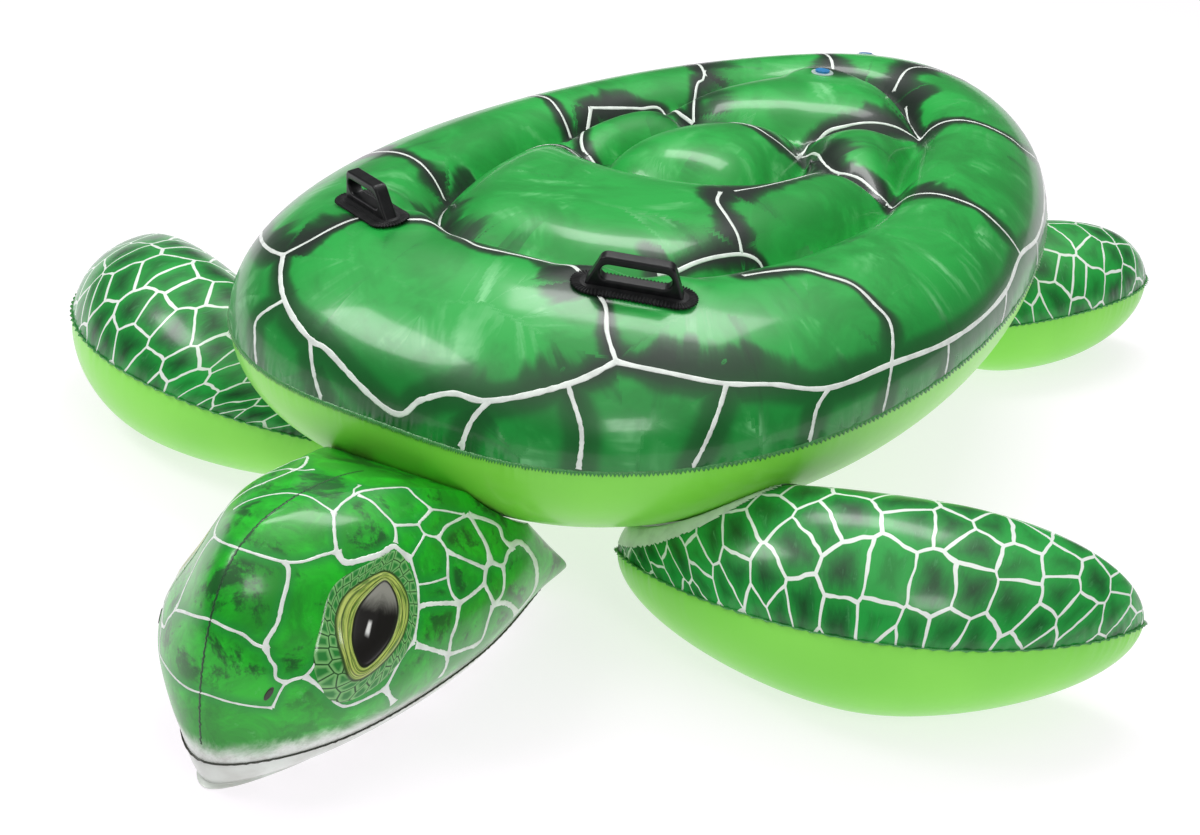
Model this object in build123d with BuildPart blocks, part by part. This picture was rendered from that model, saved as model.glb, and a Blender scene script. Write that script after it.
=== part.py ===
"""Inflatable sea-turtle pool float: a ride-on shell, a head, four flippers, two handles, two valves.

Frame: +Z up, the head looks along -Y, the turtle's left side is +X. The origin is on the floor,
under the middle of the whole float. Every air chamber is a pair of welded vinyl panels. The film
is drawn 2 mm thick, so that both of its faces survive meshing; the real film is 0.3 mm.
"""
from math import cos, sin, pi, radians
import os

from build123d import *

os.makedirs("parts", exist_ok=True)

# ---- driving dimensions, mm and degrees ---------------------------------------------------
FILM = 2.0              # drawn thickness of the vinyl panels
WELD_GAP = 3.0          # space under the belly that holds a weld patch
CLEAR = 0.4             # clearance left between a weld patch and the belly

SHELL_HALF_WIDTH = 379.5    # first harmonic of the egg-shaped plan
SHELL_HALF_LENGTH = 667.5
SHELL_WIDTH_TERMS = (-0.135, -0.045)    # second and third harmonics, across
SHELL_LENGTH_TERMS = (-0.213, -0.017)   # second and third harmonics, along
SHELL_ORIGIN_Y = 19.0
SHELL_CENTRE_Y = 161.0      # middle of the plan, about which the levels shrink
SHELL_SPAN = (405.0, 656.0)     # true half width and half length of the plan
SEAM_Z = 248.0
SHELL_RISE = 120.0      # from the seam to the crown
SHELL_DROP = 143.0      # from the seam to the belly
RIM_INSET = 216.0       # from the seam in to the crown, in plan
CROWN_TILT = 1.6        # the crown falls a little towards the tail
PLAN_POINTS = 24        # points of the spline through the shell's plan

FRONT_ROOT = (189.0, -323.0, 90.0)      # inner tip of the left front flipper
FRONT_TIP = (697.0, -131.0, 102.0)
FRONT_WIDTH, FRONT_RISE, FRONT_DROP = 224.0, 112.0, 110.0
FRONT_BOW, FRONT_ROLL = -59.0, -11.8
REAR_ROOT = (212.0, 432.0, 88.0)        # inner tip of the left rear flipper
REAR_TIP = (362.0, 752.0, 104.0)
REAR_WIDTH, REAR_RISE, REAR_DROP = 194.0, 98.0, 98.0
REAR_BOW, REAR_ROLL = 24.0, -7.0
LENS_POWER = 0.66       # how blunt the flipper's two tips are
LENS_SKEW = 0.09        # a flipper is a little fuller towards its outer tip
LENS_ANGLES = (0.0, 20.0, 40.0, 57.0, 71.0, 82.0)
LENS_STATIONS = (0.0, 0.06, 0.2, 0.4, 0.6, 0.8, 0.94, 1.0)

NECK_Y = -331.0         # the head's rear weld
HEAD_YAW = 5.4          # the head rests turned a little to the turtle's left
HEAD_SEAM_Z = 52.0      # seam between the side panels and the chin panel
# level above the floor, nose, rear edge (both from the neck weld), half width, corner fullness
HEAD_LEVELS = (
    (52.0, 472.0, 0.0, 143.0, 0.90),
    (90.0, 485.0, 22.0, 146.0, 0.84),
    (130.0, 482.0, 52.0, 138.0, 0.76),
    (170.0, 472.0, 104.0, 118.0, 0.66),
    (205.0, 455.0, 178.0, 92.0, 0.60),
    (230.0, 432.0, 246.0, 60.0, 0.56),
    (243.0, 400.0, 310.0, 26.0, 0.54),
)
WIDEST_SHARE, CHEEK_SHARE = 0.40, 0.80   # where a level is widest and where its fullness counts, from the rear
CHIN_LEVELS = (
    (52.0, 472.0, 0.0, 143.0, 0.90),
    (28.0, 464.0, 26.0, 132.0, 0.84),
    (8.0, 440.0, 66.0, 106.0, 0.78),
    (0.0, 404.0, 110.0, 76.0, 0.72),
)

HANDLE_AROUND, HANDLE_UP = 55.65, 70.4  # where the left handle stands on the shell's rim
HANDLE_TURN = -21.7     # the grip runs outwards and back, turned this much from the rim's line
PATCH_LENGTH, PATCH_WIDTH, PATCH_THICK = 136.0, 50.0, 2.6
PATCH_STEP, PATCH_BORDER = 1.0, 8.0     # the patch is thinner along its border
HANDLE_LIFT = 0.3       # the patch stands this far off the curved crown at its middle
GRIP_FOOT, GRIP_TOP, GRIP_HEIGHT, GRIP_WIDTH = 102.0, 74.0, 38.0, 15.0
GRIP_BAR, GRIP_RAIL, GRIP_POST = 9.5, 8.0, 14.0
GRIP_CORNER, GRIP_EDGE = 9.0, 2.5       # radii of the grip's upper corners and of its edges

BAFFLE_TOP = 292.0      # the creases of the top sheet are pulled down to about this height
BAFFLE_PLAN = (0.45, 0.57)      # the closed baffle's plan, as a share of the seam's plan
CROSS_GAP = 1.6         # films from the closed baffle's outside to a cross baffle's end
CROSS_BAFFLES = {"saddle_baffle": 62.0, "seat_baffle": 292.0}   # how far back each one stands

# weld patches: middle in plan, half length, half width, turn about Z
PATCHES = {"front": (262.0, -352.0, 52.0, 34.0, 53.0), "rear": (236.0, 476.0, 46.0, 30.0, 118.0)}
HEAD_PATCH = (0.0, -425.0, 78.0, 40.0, 0.0)
COLUMN_FOOT, COLUMN_HEIGHT = 60.0, 180.0    # upright column that bounds a patch

VALVE_X, VALVE_Y = -40.0, 520.0         # inflation valve on the crown
REAR_VALVE_TURN, REAR_VALVE_LEVEL = 192.0, 48.0     # second valve, on the tail's rim
FLANGE_R, FLANGE_THICK = 15.0, 1.6
STEM_R, STEM_BORE_R, STEM_LENGTH = 8.6, 4.2, 17.0
STEM_CLEARANCE = 0.35
SHEET_HOLE_CLEARANCE, HOLE_DEPTH = 1.2, 40.0    # round the stem in the top sheet
FLANGE_CHAMFER = 0.8
STOPPER_R, STOPPER_THICK, PLUG_R, PLUG_LENGTH = 9.6, 2.4, 4.15, 9.0
FLAP_THICK = 0.8

LEVEL_ANGLES = (0.0, 18.0, 36.0, 52.0, 66.0, 79.0, 90.0)


# ---- shell --------------------------------------------------------------------------------
def shell_plan(turn):
    """A point of the seam's plan; turn is 0 at the front and 180 degrees at the tail."""
    second, third = SHELL_WIDTH_TERMS
    x = SHELL_HALF_WIDTH * (sin(turn) + second * sin(2 * turn) + third * sin(3 * turn))
    second, third = SHELL_LENGTH_TERMS
    y = SHELL_HALF_LENGTH * (cos(turn) + second * cos(2 * turn) + third * cos(3 * turn))
    return x, SHELL_ORIGIN_Y - y


def shell_level(angle, height, inset):
    """Plane and plan scales of the shell at one angle of its quarter-ellipse rim."""
    lean = radians(CROWN_TILT) * max(sin(angle), 0)
    drawn_in = inset * (1 - cos(angle))
    plane = Plane(
        origin=(0, SHELL_CENTRE_Y, SEAM_Z + height * sin(angle)),
        x_dir=(1, 0, 0),
        z_dir=(0, sin(lean), cos(lean)),
    )
    return plane, 1 - drawn_in / SHELL_SPAN[0], 1 - drawn_in / SHELL_SPAN[1]


def shell_solid(height, shrink=0.0):
    """Solid from the seam plane to the crown (height above 0) or the belly (below 0)."""
    side = 1 if height > 0 else -1
    with BuildPart() as solid:
        for degrees in LEVEL_ANGLES:
            angle = side * radians(degrees)
            plane, across, along = shell_level(angle, abs(height) - shrink, RIM_INSET)
            across -= shrink / SHELL_SPAN[0]
            along -= shrink / SHELL_SPAN[1]
            with BuildSketch(plane):
                with BuildLine():
                    points = []
                    for step in range(PLAN_POINTS):
                        x, y = shell_plan(2 * pi * step / PLAN_POINTS)
                        points.append((across * x, along * (y - SHELL_CENTRE_Y)))
                    Spline(*points, periodic=True)
                make_face()
        loft()
    return solid.part


def crown_frame(turn, level):
    """Plane tangent to the rim above the seam, its X axis along the rim."""
    def rim_point(around, up):
        plane, across, along = shell_level(up, SHELL_RISE, RIM_INSET)
        x, y = shell_plan(around)
        return plane.from_local_coords(Vector(across * x, along * (y - SHELL_CENTRE_Y), 0))

    step = radians(0.5)
    here = rim_point(turn, level)
    along_rim = rim_point(turn + step, level) - here
    up_rim = rim_point(turn, level + step) - here
    return Plane(origin=here, x_dir=along_rim, z_dir=along_rim.cross(up_rim))


crown_level = shell_level(pi / 2, SHELL_RISE, RIM_INSET)[0]
crown_valve = Plane(
    origin=crown_level.from_local_coords(Vector(VALVE_X, VALVE_Y - SHELL_CENTRE_Y, 0)),
    x_dir=(1, 0, 0),
    z_dir=crown_level.z_dir,
)
tail_valve = crown_frame(radians(REAR_VALVE_TURN), radians(REAR_VALVE_LEVEL))
valves = {"crown": crown_valve, "tail": tail_valve}

with BuildPart() as shell_top_sheet:
    add(shell_solid(SHELL_RISE))
    add(shell_solid(SHELL_RISE, FILM), mode=Mode.SUBTRACT)
    for valve in valves.values():
        with Locations(Location(valve)):
            Cylinder(STEM_R + SHEET_HOLE_CLEARANCE, HOLE_DEPTH, mode=Mode.SUBTRACT)

with BuildPart() as shell_bottom_sheet:
    add(shell_solid(-SHELL_DROP))
    add(shell_solid(-SHELL_DROP, FILM), mode=Mode.SUBTRACT)


# ---- tension baffles inside the shell -------------------------------------------------------
belly_z = SEAM_Z - SHELL_DROP + FILM


def baffle_outline(across, along):
    """Closed spline with the shell's plan at smaller scales."""
    points = []
    for step in range(PLAN_POINTS):
        x, y = shell_plan(2 * pi * step / PLAN_POINTS)
        points.append((across * x, along * (y - SHELL_CENTRE_Y)))
    Spline(*points, periodic=True)


with BuildPart() as ring_baffle:
    with BuildSketch(Plane(origin=(0, SHELL_CENTRE_Y, belly_z))):
        with BuildLine():
            baffle_outline(*BAFFLE_PLAN)
        make_face()
        with BuildLine():
            baffle_outline(BAFFLE_PLAN[0] - FILM / SHELL_SPAN[0], BAFFLE_PLAN[1] - FILM / SHELL_SPAN[1])
        make_face(mode=Mode.SUBTRACT)
    extrude(amount=BAFFLE_TOP - belly_z)

cross_baffles = {}
for name, stand_y in CROSS_BAFFLES.items():
    with BuildPart() as cross_baffle:
        with BuildSketch(Plane(origin=(0, SHELL_CENTRE_Y, belly_z))):
            with BuildLine():
                gap = CROSS_GAP * FILM
                baffle_outline(BAFFLE_PLAN[0] - gap / SHELL_SPAN[0], BAFFLE_PLAN[1] - gap / SHELL_SPAN[1])
            make_face()
            with Locations((0, stand_y - SHELL_CENTRE_Y)):
                Rectangle(2 * SHELL_SPAN[0], FILM, mode=Mode.INTERSECT)
        extrude(amount=BAFFLE_TOP - belly_z)
    cross_baffles[name] = cross_baffle.part


# ---- flippers -------------------------------------------------------------------------------
def lens_plane(root, tip, roll):
    """Seam plane of a flipper: X from its inner tip to its outer tip, Z up, rolled about X."""
    root, tip = Vector(*root), Vector(*tip)
    span = (tip - root).normalized()
    across = Vector(0, 0, 1).cross(span).normalized()
    up = span.cross(across)
    lean = radians(roll)
    return Plane(origin=(root + tip) * 0.5, x_dir=span, z_dir=up * cos(lean) - across * sin(lean))


def lens_solid(root, tip, roll, width, bow, height, grow=0.0):
    """Half of a flipper, from its seam plane up (height above 0) or down (below 0)."""
    plane = lens_plane(root, tip, roll)
    length = (Vector(*tip) - Vector(*root)).length
    side = 1 if height > 0 else -1
    with BuildPart() as solid:
        for degrees in LENS_ANGLES:
            angle = radians(degrees)
            with BuildSketch(plane.offset(side * (abs(height) + grow) * sin(angle))):
                with BuildLine():
                    edges = {-1: [], 1: []}
                    for share in LENS_STATIONS:
                        full = (4 * share * (1 - share)) ** LENS_POWER * (1 + LENS_SKEW * (2 * share - 1))
                        along = (share - 0.5) * (length + 2 * grow) * cos(angle)
                        middle = bow * (4 * share * (1 - share) - 1) * cos(angle) + bow
                        for edge, points in edges.items():
                            half = (width / 2 + grow) * full * cos(angle)
                            points.append((along, middle + edge * half))
                    Spline(*edges[-1])
                    Spline(*edges[1])
                make_face()
        loft()
    return solid.part


FLIPPERS = {
    "front": (FRONT_ROOT, FRONT_TIP, FRONT_ROLL, FRONT_WIDTH, FRONT_BOW, FRONT_RISE, FRONT_DROP),
    "rear": (REAR_ROOT, REAR_TIP, REAR_ROLL, REAR_WIDTH, REAR_BOW, REAR_RISE, REAR_DROP),
}
belly = shell_solid(-SHELL_DROP, -CLEAR)        # the belly with a weld patch's clearance
belly_outside = shell_solid(-SHELL_DROP, -WELD_GAP)
belly_inside = shell_solid(-SHELL_DROP, -WELD_GAP - FILM)


def patch_column(middle_x, middle_y, half_long, half_short, turn):
    """Upright elliptical column that bounds a weld patch."""
    with BuildPart() as column:
        with BuildSketch(Plane(origin=(middle_x, middle_y, COLUMN_FOOT))):
            Ellipse(half_long, half_short, rotation=turn)
        extrude(amount=COLUMN_HEIGHT)
    return column.part


flippers = {}
for row, (root, tip, roll, width, bow, rise, drop) in FLIPPERS.items():
    with BuildPart() as pillow:
        add(lens_solid(root, tip, roll, width, bow, rise))
        add(belly_outside, mode=Mode.SUBTRACT)
    with BuildPart() as air:
        add(lens_solid(root, tip, roll, width, bow, rise, -FILM))
        add(belly_inside, mode=Mode.SUBTRACT)
    with BuildPart() as top_panel:
        add(pillow.part)
        add(air.part, mode=Mode.SUBTRACT)

    with BuildPart() as lower_air:
        add(lens_solid(root, tip, roll, width, bow, -drop, -FILM))
        split(bisect_by=Plane.XY.offset(FILM), keep=Keep.TOP)
    with BuildPart() as bottom_panel:
        add(lens_solid(root, tip, roll, width, bow, -drop))
        split(bisect_by=Plane.XY, keep=Keep.TOP)
        add(lower_air.part, mode=Mode.SUBTRACT)

    with BuildPart() as patch:
        add(patch_column(*PATCHES[row]))
        add(lens_solid(root, tip, roll, width, bow, rise, FILM), mode=Mode.INTERSECT)
        add(pillow.part, mode=Mode.SUBTRACT)
        add(belly, mode=Mode.SUBTRACT)

    for kind, half in (("top", top_panel), ("bottom", bottom_panel), ("patch", patch)):
        flippers[f"{row}_left_flipper_{kind}"] = half.part
        with BuildPart() as other_side:
            mirror(half.part, about=Plane.YZ)
        flippers[f"{row}_right_flipper_{kind}"] = other_side.part


# ---- head -----------------------------------------------------------------------------------
def head_solid(levels, shrink=0.0):
    """Stack of bullet-shaped levels, rounded at the nose and straight at the neck weld."""
    yaw = radians(HEAD_YAW)
    with BuildPart() as solid:
        for level, nose, rear, half, full in levels:
            height = level
            if level != HEAD_SEAM_Z:
                height = level - shrink if level > HEAD_SEAM_Z else level + shrink
            plane = Plane(origin=(0, NECK_Y, height), x_dir=(cos(yaw), sin(yaw), 0), z_dir=(0, 0, 1))
            nose, rear, half = nose - shrink, rear + shrink, half - shrink
            run = nose - rear
            corner = 0.5 + 0.5 * full
            side = [
                (corner * half, -rear),
                (half, -rear - WIDEST_SHARE * run),
                (full * half, -rear - CHEEK_SHARE * run),
            ]
            other = [(-x, y) for x, y in reversed(side)]
            with BuildSketch(plane):
                with BuildLine():
                    Spline(*side, (0, -nose), *other)
                    Line(other[-1], side[0])
                make_face()
        loft()
    return solid.part


yaw = radians(HEAD_YAW)
head_middle = Plane(origin=(0, NECK_Y, 0), x_dir=(0, 0, 1), z_dir=(cos(yaw), sin(yaw), 0))

with BuildPart() as head_pillow:
    add(head_solid(HEAD_LEVELS))
    add(belly_outside, mode=Mode.SUBTRACT)
with BuildPart() as head_air:
    add(head_solid(HEAD_LEVELS, FILM))
    add(belly_inside, mode=Mode.SUBTRACT)
with BuildPart() as head_sides:
    add(head_pillow.part)
    add(head_air.part, mode=Mode.SUBTRACT)
with BuildPart() as head_left_panel:
    add(head_sides.part)
    split(bisect_by=head_middle, keep=Keep.TOP)
with BuildPart() as head_right_panel:
    add(head_sides.part)
    split(bisect_by=head_middle, keep=Keep.BOTTOM)
with BuildPart() as head_chin_panel:
    add(head_solid(CHIN_LEVELS))
    add(head_solid(CHIN_LEVELS, FILM), mode=Mode.SUBTRACT)
with BuildPart() as head_patch:
    add(patch_column(*HEAD_PATCH))
    add(head_solid(HEAD_LEVELS, -FILM), mode=Mode.INTERSECT)
    add(head_pillow.part, mode=Mode.SUBTRACT)
    add(belly, mode=Mode.SUBTRACT)


# ---- handles --------------------------------------------------------------------------------
handle_spot = crown_frame(radians(HANDLE_AROUND), radians(HANDLE_UP))
handle_base = Plane(
    origin=handle_spot.origin + handle_spot.z_dir * HANDLE_LIFT,
    x_dir=handle_spot.x_dir.rotate(Axis(handle_spot.origin, handle_spot.z_dir), HANDLE_TURN),
    z_dir=handle_spot.z_dir,
)
handle_side = Plane(origin=handle_base.origin, x_dir=handle_base.x_dir, z_dir=handle_base.y_dir)

with BuildPart() as handle_patch:
    with BuildSketch(handle_base):
        SlotOverall(PATCH_LENGTH, PATCH_WIDTH)
    extrude(amount=PATCH_THICK - PATCH_STEP)
    with BuildSketch(handle_base.offset(PATCH_THICK - PATCH_STEP)):
        SlotOverall(PATCH_LENGTH - 2 * PATCH_BORDER, PATCH_WIDTH - 2 * PATCH_BORDER)
    extrude(amount=PATCH_STEP)

with BuildPart() as handle_grip:
    with BuildSketch(handle_side):
        with BuildLine():
            Polyline(
                (-GRIP_FOOT / 2, -PATCH_THICK), (GRIP_FOOT / 2, -PATCH_THICK),
                (GRIP_TOP / 2, -GRIP_HEIGHT), (-GRIP_TOP / 2, -GRIP_HEIGHT), close=True,
            )
        make_face()
        fillet(vertices().sort_by(Axis.Y)[:2], GRIP_CORNER)
        with Locations((0, -(PATCH_THICK + GRIP_RAIL + GRIP_HEIGHT - GRIP_BAR) / 2)):
            SlotOverall(
                GRIP_FOOT - 2 * GRIP_POST, GRIP_HEIGHT - GRIP_BAR - GRIP_RAIL - PATCH_THICK,
                mode=Mode.SUBTRACT,
            )
    extrude(amount=GRIP_WIDTH / 2, both=True)
    fillet(edges().filter_by(GeomType.LINE, reverse=True), GRIP_EDGE)

handles = {}
for kind, piece in (("patch", handle_patch), ("grip", handle_grip)):
    handles[f"left_handle_{kind}"] = piece.part
    with BuildPart() as other_side:
        mirror(piece.part, about=Plane.YZ)
    handles[f"right_handle_{kind}"] = other_side.part


# ---- valves ---------------------------------------------------------------------------------
valve_pieces = {}
for place, valve in valves.items():
    with BuildPart() as flange:
        with BuildSketch(valve):
            Circle(FLANGE_R)
            Circle(STEM_R + STEM_CLEARANCE, mode=Mode.SUBTRACT)
        extrude(amount=FLANGE_THICK)
        outer_edges = flange.edges().filter_by(GeomType.CIRCLE).group_by(SortBy.RADIUS)[-1]
        chamfer(outer_edges.sort_by(lambda edge: valve.to_local_coords(edge.center()).Z)[-1], FLANGE_CHAMFER)

    with BuildPart() as stem:
        with BuildSketch(valve.offset(FLANGE_THICK)):
            Circle(STEM_R)
            Circle(STEM_BORE_R, mode=Mode.SUBTRACT)
        extrude(amount=-STEM_LENGTH)

    with BuildPart() as stopper:
        with BuildSketch(valve.offset(FLANGE_THICK)):
            Circle(STOPPER_R)
        extrude(amount=STOPPER_THICK)
        with BuildSketch(valve.offset(FLANGE_THICK)):
            Circle(PLUG_R)
        extrude(amount=-PLUG_LENGTH)

    with BuildPart() as flap:
        with BuildSketch(valve.offset(FLANGE_THICK - STEM_LENGTH)):
            Circle(STEM_R)
        extrude(amount=-FLAP_THICK)

    for kind, piece in (("flange", flange), ("stem", stem), ("stopper", stopper), ("flap", flap)):
        valve_pieces[f"{place}_valve_{kind}"] = piece.part


# ---- hand over ------------------------------------------------------------------------------
pieces = {
    "shell_top_sheet": shell_top_sheet.part,
    "shell_bottom_sheet": shell_bottom_sheet.part,
    "ring_baffle": ring_baffle.part,
    "head_left_panel": head_left_panel.part,
    "head_right_panel": head_right_panel.part,
    "head_chin_panel": head_chin_panel.part,
    "head_patch": head_patch.part,
    **cross_baffles,
    **flippers,
    **handles,
    **valve_pieces,
}
for name, piece in pieces.items():
    piece.label = name
    export_step(piece, f"parts/{name}.step")
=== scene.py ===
"""Looks of an inflatable sea-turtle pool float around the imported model. Metres, +Z up, head towards -Y."""
from math import cos, pi, radians, sin

import bpy
import numpy as np
from mathutils import Matrix, Vector
from mathutils.bvhtree import BVHTree
from mathutils.kdtree import KDTree


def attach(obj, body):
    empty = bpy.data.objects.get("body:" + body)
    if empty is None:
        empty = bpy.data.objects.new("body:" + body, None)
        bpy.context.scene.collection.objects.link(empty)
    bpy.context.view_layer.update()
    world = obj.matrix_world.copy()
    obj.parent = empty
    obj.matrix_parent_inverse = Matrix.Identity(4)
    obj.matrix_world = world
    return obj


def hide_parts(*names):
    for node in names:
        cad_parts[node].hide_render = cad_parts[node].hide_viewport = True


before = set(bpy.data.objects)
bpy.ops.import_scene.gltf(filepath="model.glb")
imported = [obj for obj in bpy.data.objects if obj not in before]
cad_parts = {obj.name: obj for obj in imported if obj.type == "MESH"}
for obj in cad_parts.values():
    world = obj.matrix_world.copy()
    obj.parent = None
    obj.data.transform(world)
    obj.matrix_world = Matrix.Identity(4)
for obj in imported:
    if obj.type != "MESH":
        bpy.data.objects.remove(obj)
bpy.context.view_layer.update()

SIDES = {"left": 1, "right": -1}
UP = (0.0, 0.0, 1.0)

# ---- the shell's surface: the same egg-shaped plan and quarter-ellipse rim as the CAD sheets ---------
HALF_WIDTH, WIDTH_TERMS = 0.3795, (-0.135, -0.045)
HALF_LENGTH, LENGTH_TERMS = 0.6675, (-0.213, -0.017)
ORIGIN_Y, CENTRE_Y = 0.019, 0.161
SPAN = (0.405, 0.656)
SEAM_Z, RISE, DROP, INSET = 0.248, 0.120, 0.143, 0.216
CROWN_TILT = radians(1.6)


def seam_plan(turn):
    """Plan of the shell's seam; turn is 0 at the front and pi at the tail."""
    second, third = WIDTH_TERMS
    x = HALF_WIDTH * (np.sin(turn) + second * np.sin(2 * turn) + third * np.sin(3 * turn))
    second, third = LENGTH_TERMS
    y = HALF_LENGTH * (np.cos(turn) + second * np.cos(2 * turn) + third * np.cos(3 * turn))
    return x, ORIGIN_Y - y


def shell_point(turn, level, height=RISE):
    """Point of the plain shell: level 0 at the seam, 1 where the rim ends, 2 in the middle."""
    x, y = seam_plan(turn)
    angle = np.clip(level, 0, 1) * pi / 2
    share = np.where(level > 1, 2 - level, 1.0)
    drawn_in = INSET * (1 - np.cos(angle))
    lean = CROWN_TILT * np.sin(angle) * (1 if height > 0 else 0)
    across = (1 - drawn_in / SPAN[0]) * x * share
    along = (1 - drawn_in / SPAN[1]) * (y - CENTRE_Y) * share
    up = SEAM_Z + height * np.sin(angle) - along * np.sin(lean)
    return np.stack([across, CENTRE_Y + along * np.cos(lean), up], -1)


# ---- small helpers for curves, grids and meshes ------------------------------------------------------
def cad_points(node):
    """Corners of a CAD node's mesh."""
    return np.array([vertex.co[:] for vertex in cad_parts[node].data.vertices])


def smooth_line(points, closed=False, steps=14):
    """Catmull-Rom curve through given points."""
    points = np.array(points, float)
    if closed:
        points = np.vstack([points[-1], points, points[:2]])
    else:
        points = np.vstack([2 * points[0] - points[1], points, 2 * points[-1] - points[-2]])
    share = np.linspace(0, 1, steps, endpoint=False)[:, None]
    runs = []
    for a, b, c, d in zip(points, points[1:], points[2:], points[3:]):
        runs.append(0.5 * (2 * b + (c - a) * share + (2 * a - 5 * b + 4 * c - d) * share ** 2
                           + (3 * b - a - 3 * c + d) * share ** 3))
    if not closed:
        runs.append(points[-2][None, :])
    return np.vstack(runs)


def run_along(points):
    """Distance of each point from the first, along a line or down each column of a grid."""
    steps = np.linalg.norm(np.diff(points, axis=0), axis=-1)
    return np.concatenate([np.zeros_like(steps[:1]), np.cumsum(steps, axis=0)])


def even(points, spacing):
    """The same polyline with evenly spaced points."""
    length = run_along(points)
    wanted = np.linspace(0, length[-1], max(3, int(length[-1] / spacing) + 1))
    return np.stack([np.interp(wanted, length, column) for column in points.T], -1)


def ease(value, low, high):
    """Smooth step from 0 at low to 1 at high."""
    share = np.clip((value - low) / (high - low), 0, 1)
    return share * share * (3 - 2 * share)


def waves(values, counts, seed):
    """Smooth seeded noise around a closed loop; values run from 0 to 2 pi."""
    random = np.random.default_rng(seed)
    total = np.zeros_like(values)
    for count in counts:
        total += np.sin(count * values + random.uniform(0, 2 * pi)) * random.uniform(0.5, 1.0)
    return total / len(counts)


def grid_faces(rows, columns, closed=True):
    """Quads of a rows x columns grid of points; closed joins the last column to the first."""
    last = columns if closed else columns - 1
    row, column = np.meshgrid(np.arange(rows - 1), np.arange(last), indexing="ij")
    after = (column + 1) % columns
    quads = np.stack([row * columns + column, row * columns + after,
                      (row + 1) * columns + after, (row + 1) * columns + column], -1)
    return quads.reshape(-1, 4)


def make_mesh(name, points, quads, triangles=None):
    """Mesh object from arrays of points, quads and triangles."""
    mesh = bpy.data.meshes.new(name)
    triangles = np.zeros((0, 3), int) if triangles is None else np.array(triangles, int)
    quads = np.array(quads, int).reshape(-1, 4)
    corners = np.concatenate([quads.ravel(), triangles.ravel()])
    starts = np.concatenate([np.arange(len(quads)) * 4, len(quads) * 4 + np.arange(len(triangles)) * 3])
    mesh.vertices.add(len(points))
    mesh.vertices.foreach_set("co", np.asarray(points, np.float32).ravel())
    mesh.loops.add(len(corners))
    mesh.loops.foreach_set("vertex_index", corners.astype(np.int32))
    mesh.polygons.add(len(starts))
    mesh.polygons.foreach_set("loop_start", starts.astype(np.int32))
    mesh.update(calc_edges=True)
    mesh.validate()
    mesh.polygons.foreach_set("use_smooth", np.ones(len(mesh.polygons), bool))
    piece = bpy.data.objects.new(name, mesh)
    bpy.context.scene.collection.objects.link(piece)
    return piece


def finish_piece(piece, body, material, replaces=()):
    """Gives a piece its material and body, and hides the CAD nodes that it replaces."""
    piece.data.materials.clear()
    piece.data.materials.append(material)
    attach(piece, body)
    if replaces:
        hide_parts(*replaces)
    return piece


def keep_vector(piece, name, values):
    """Named values on a piece's points, for its material."""
    layer = piece.data.attributes.new(name, "FLOAT_VECTOR", "POINT")
    layer.data.foreach_set("vector", np.asarray(values, np.float32).ravel())


def nearest(line_points, points):
    """Distance from each point to the nearest of line_points, and that one's index."""
    tree = KDTree(len(line_points))
    for index, point in enumerate(line_points):
        tree.insert((*point, 0)[:3], index)
    tree.balance()
    found = [tree.find((*point, 0)[:3]) for point in points.tolist()]
    return np.array([hit[2] for hit in found]), np.array([hit[1] for hit in found])


def grid_normals(points):
    """Unit normals of a rows x columns x 3 grid that is closed along its columns."""
    down = np.gradient(points, axis=0)
    around = np.roll(points, -1, 1) - np.roll(points, 1, 1)
    normal = np.cross(around, down)
    return normal / np.maximum(np.linalg.norm(normal, axis=-1, keepdims=True), 1e-12)


def outward_of(loop, upward):
    """Unit sideways directions of a closed loop of points, square to upward."""
    sideways = np.cross(np.roll(loop, -1, 0) - np.roll(loop, 1, 0), upward)
    return sideways / np.linalg.norm(sideways, axis=1, keepdims=True)


def turned_over(quads, fan):
    """The same faces, facing the other way."""
    return quads[:, ::-1], [triangle[::-1] for triangle in fan]


def join_middle(points):
    """Flattens a skin grid to points and faces, closed by one point in the middle."""
    rows, columns = points.shape[:2]
    flat = points.reshape(-1, 3)
    last = (rows - 1) * columns
    fan = [(last + i, last + (i + 1) % columns, len(flat)) for i in range(columns)]
    return np.vstack([flat, flat[-columns:].mean(0)]), grid_faces(rows, columns), fan


def skin_tree(points, quads, fan):
    """The same skin, ready for rays."""
    return BVHTree.FromPolygons(points.tolist(), quads.tolist() + [list(triangle) for triangle in fan])


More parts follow.
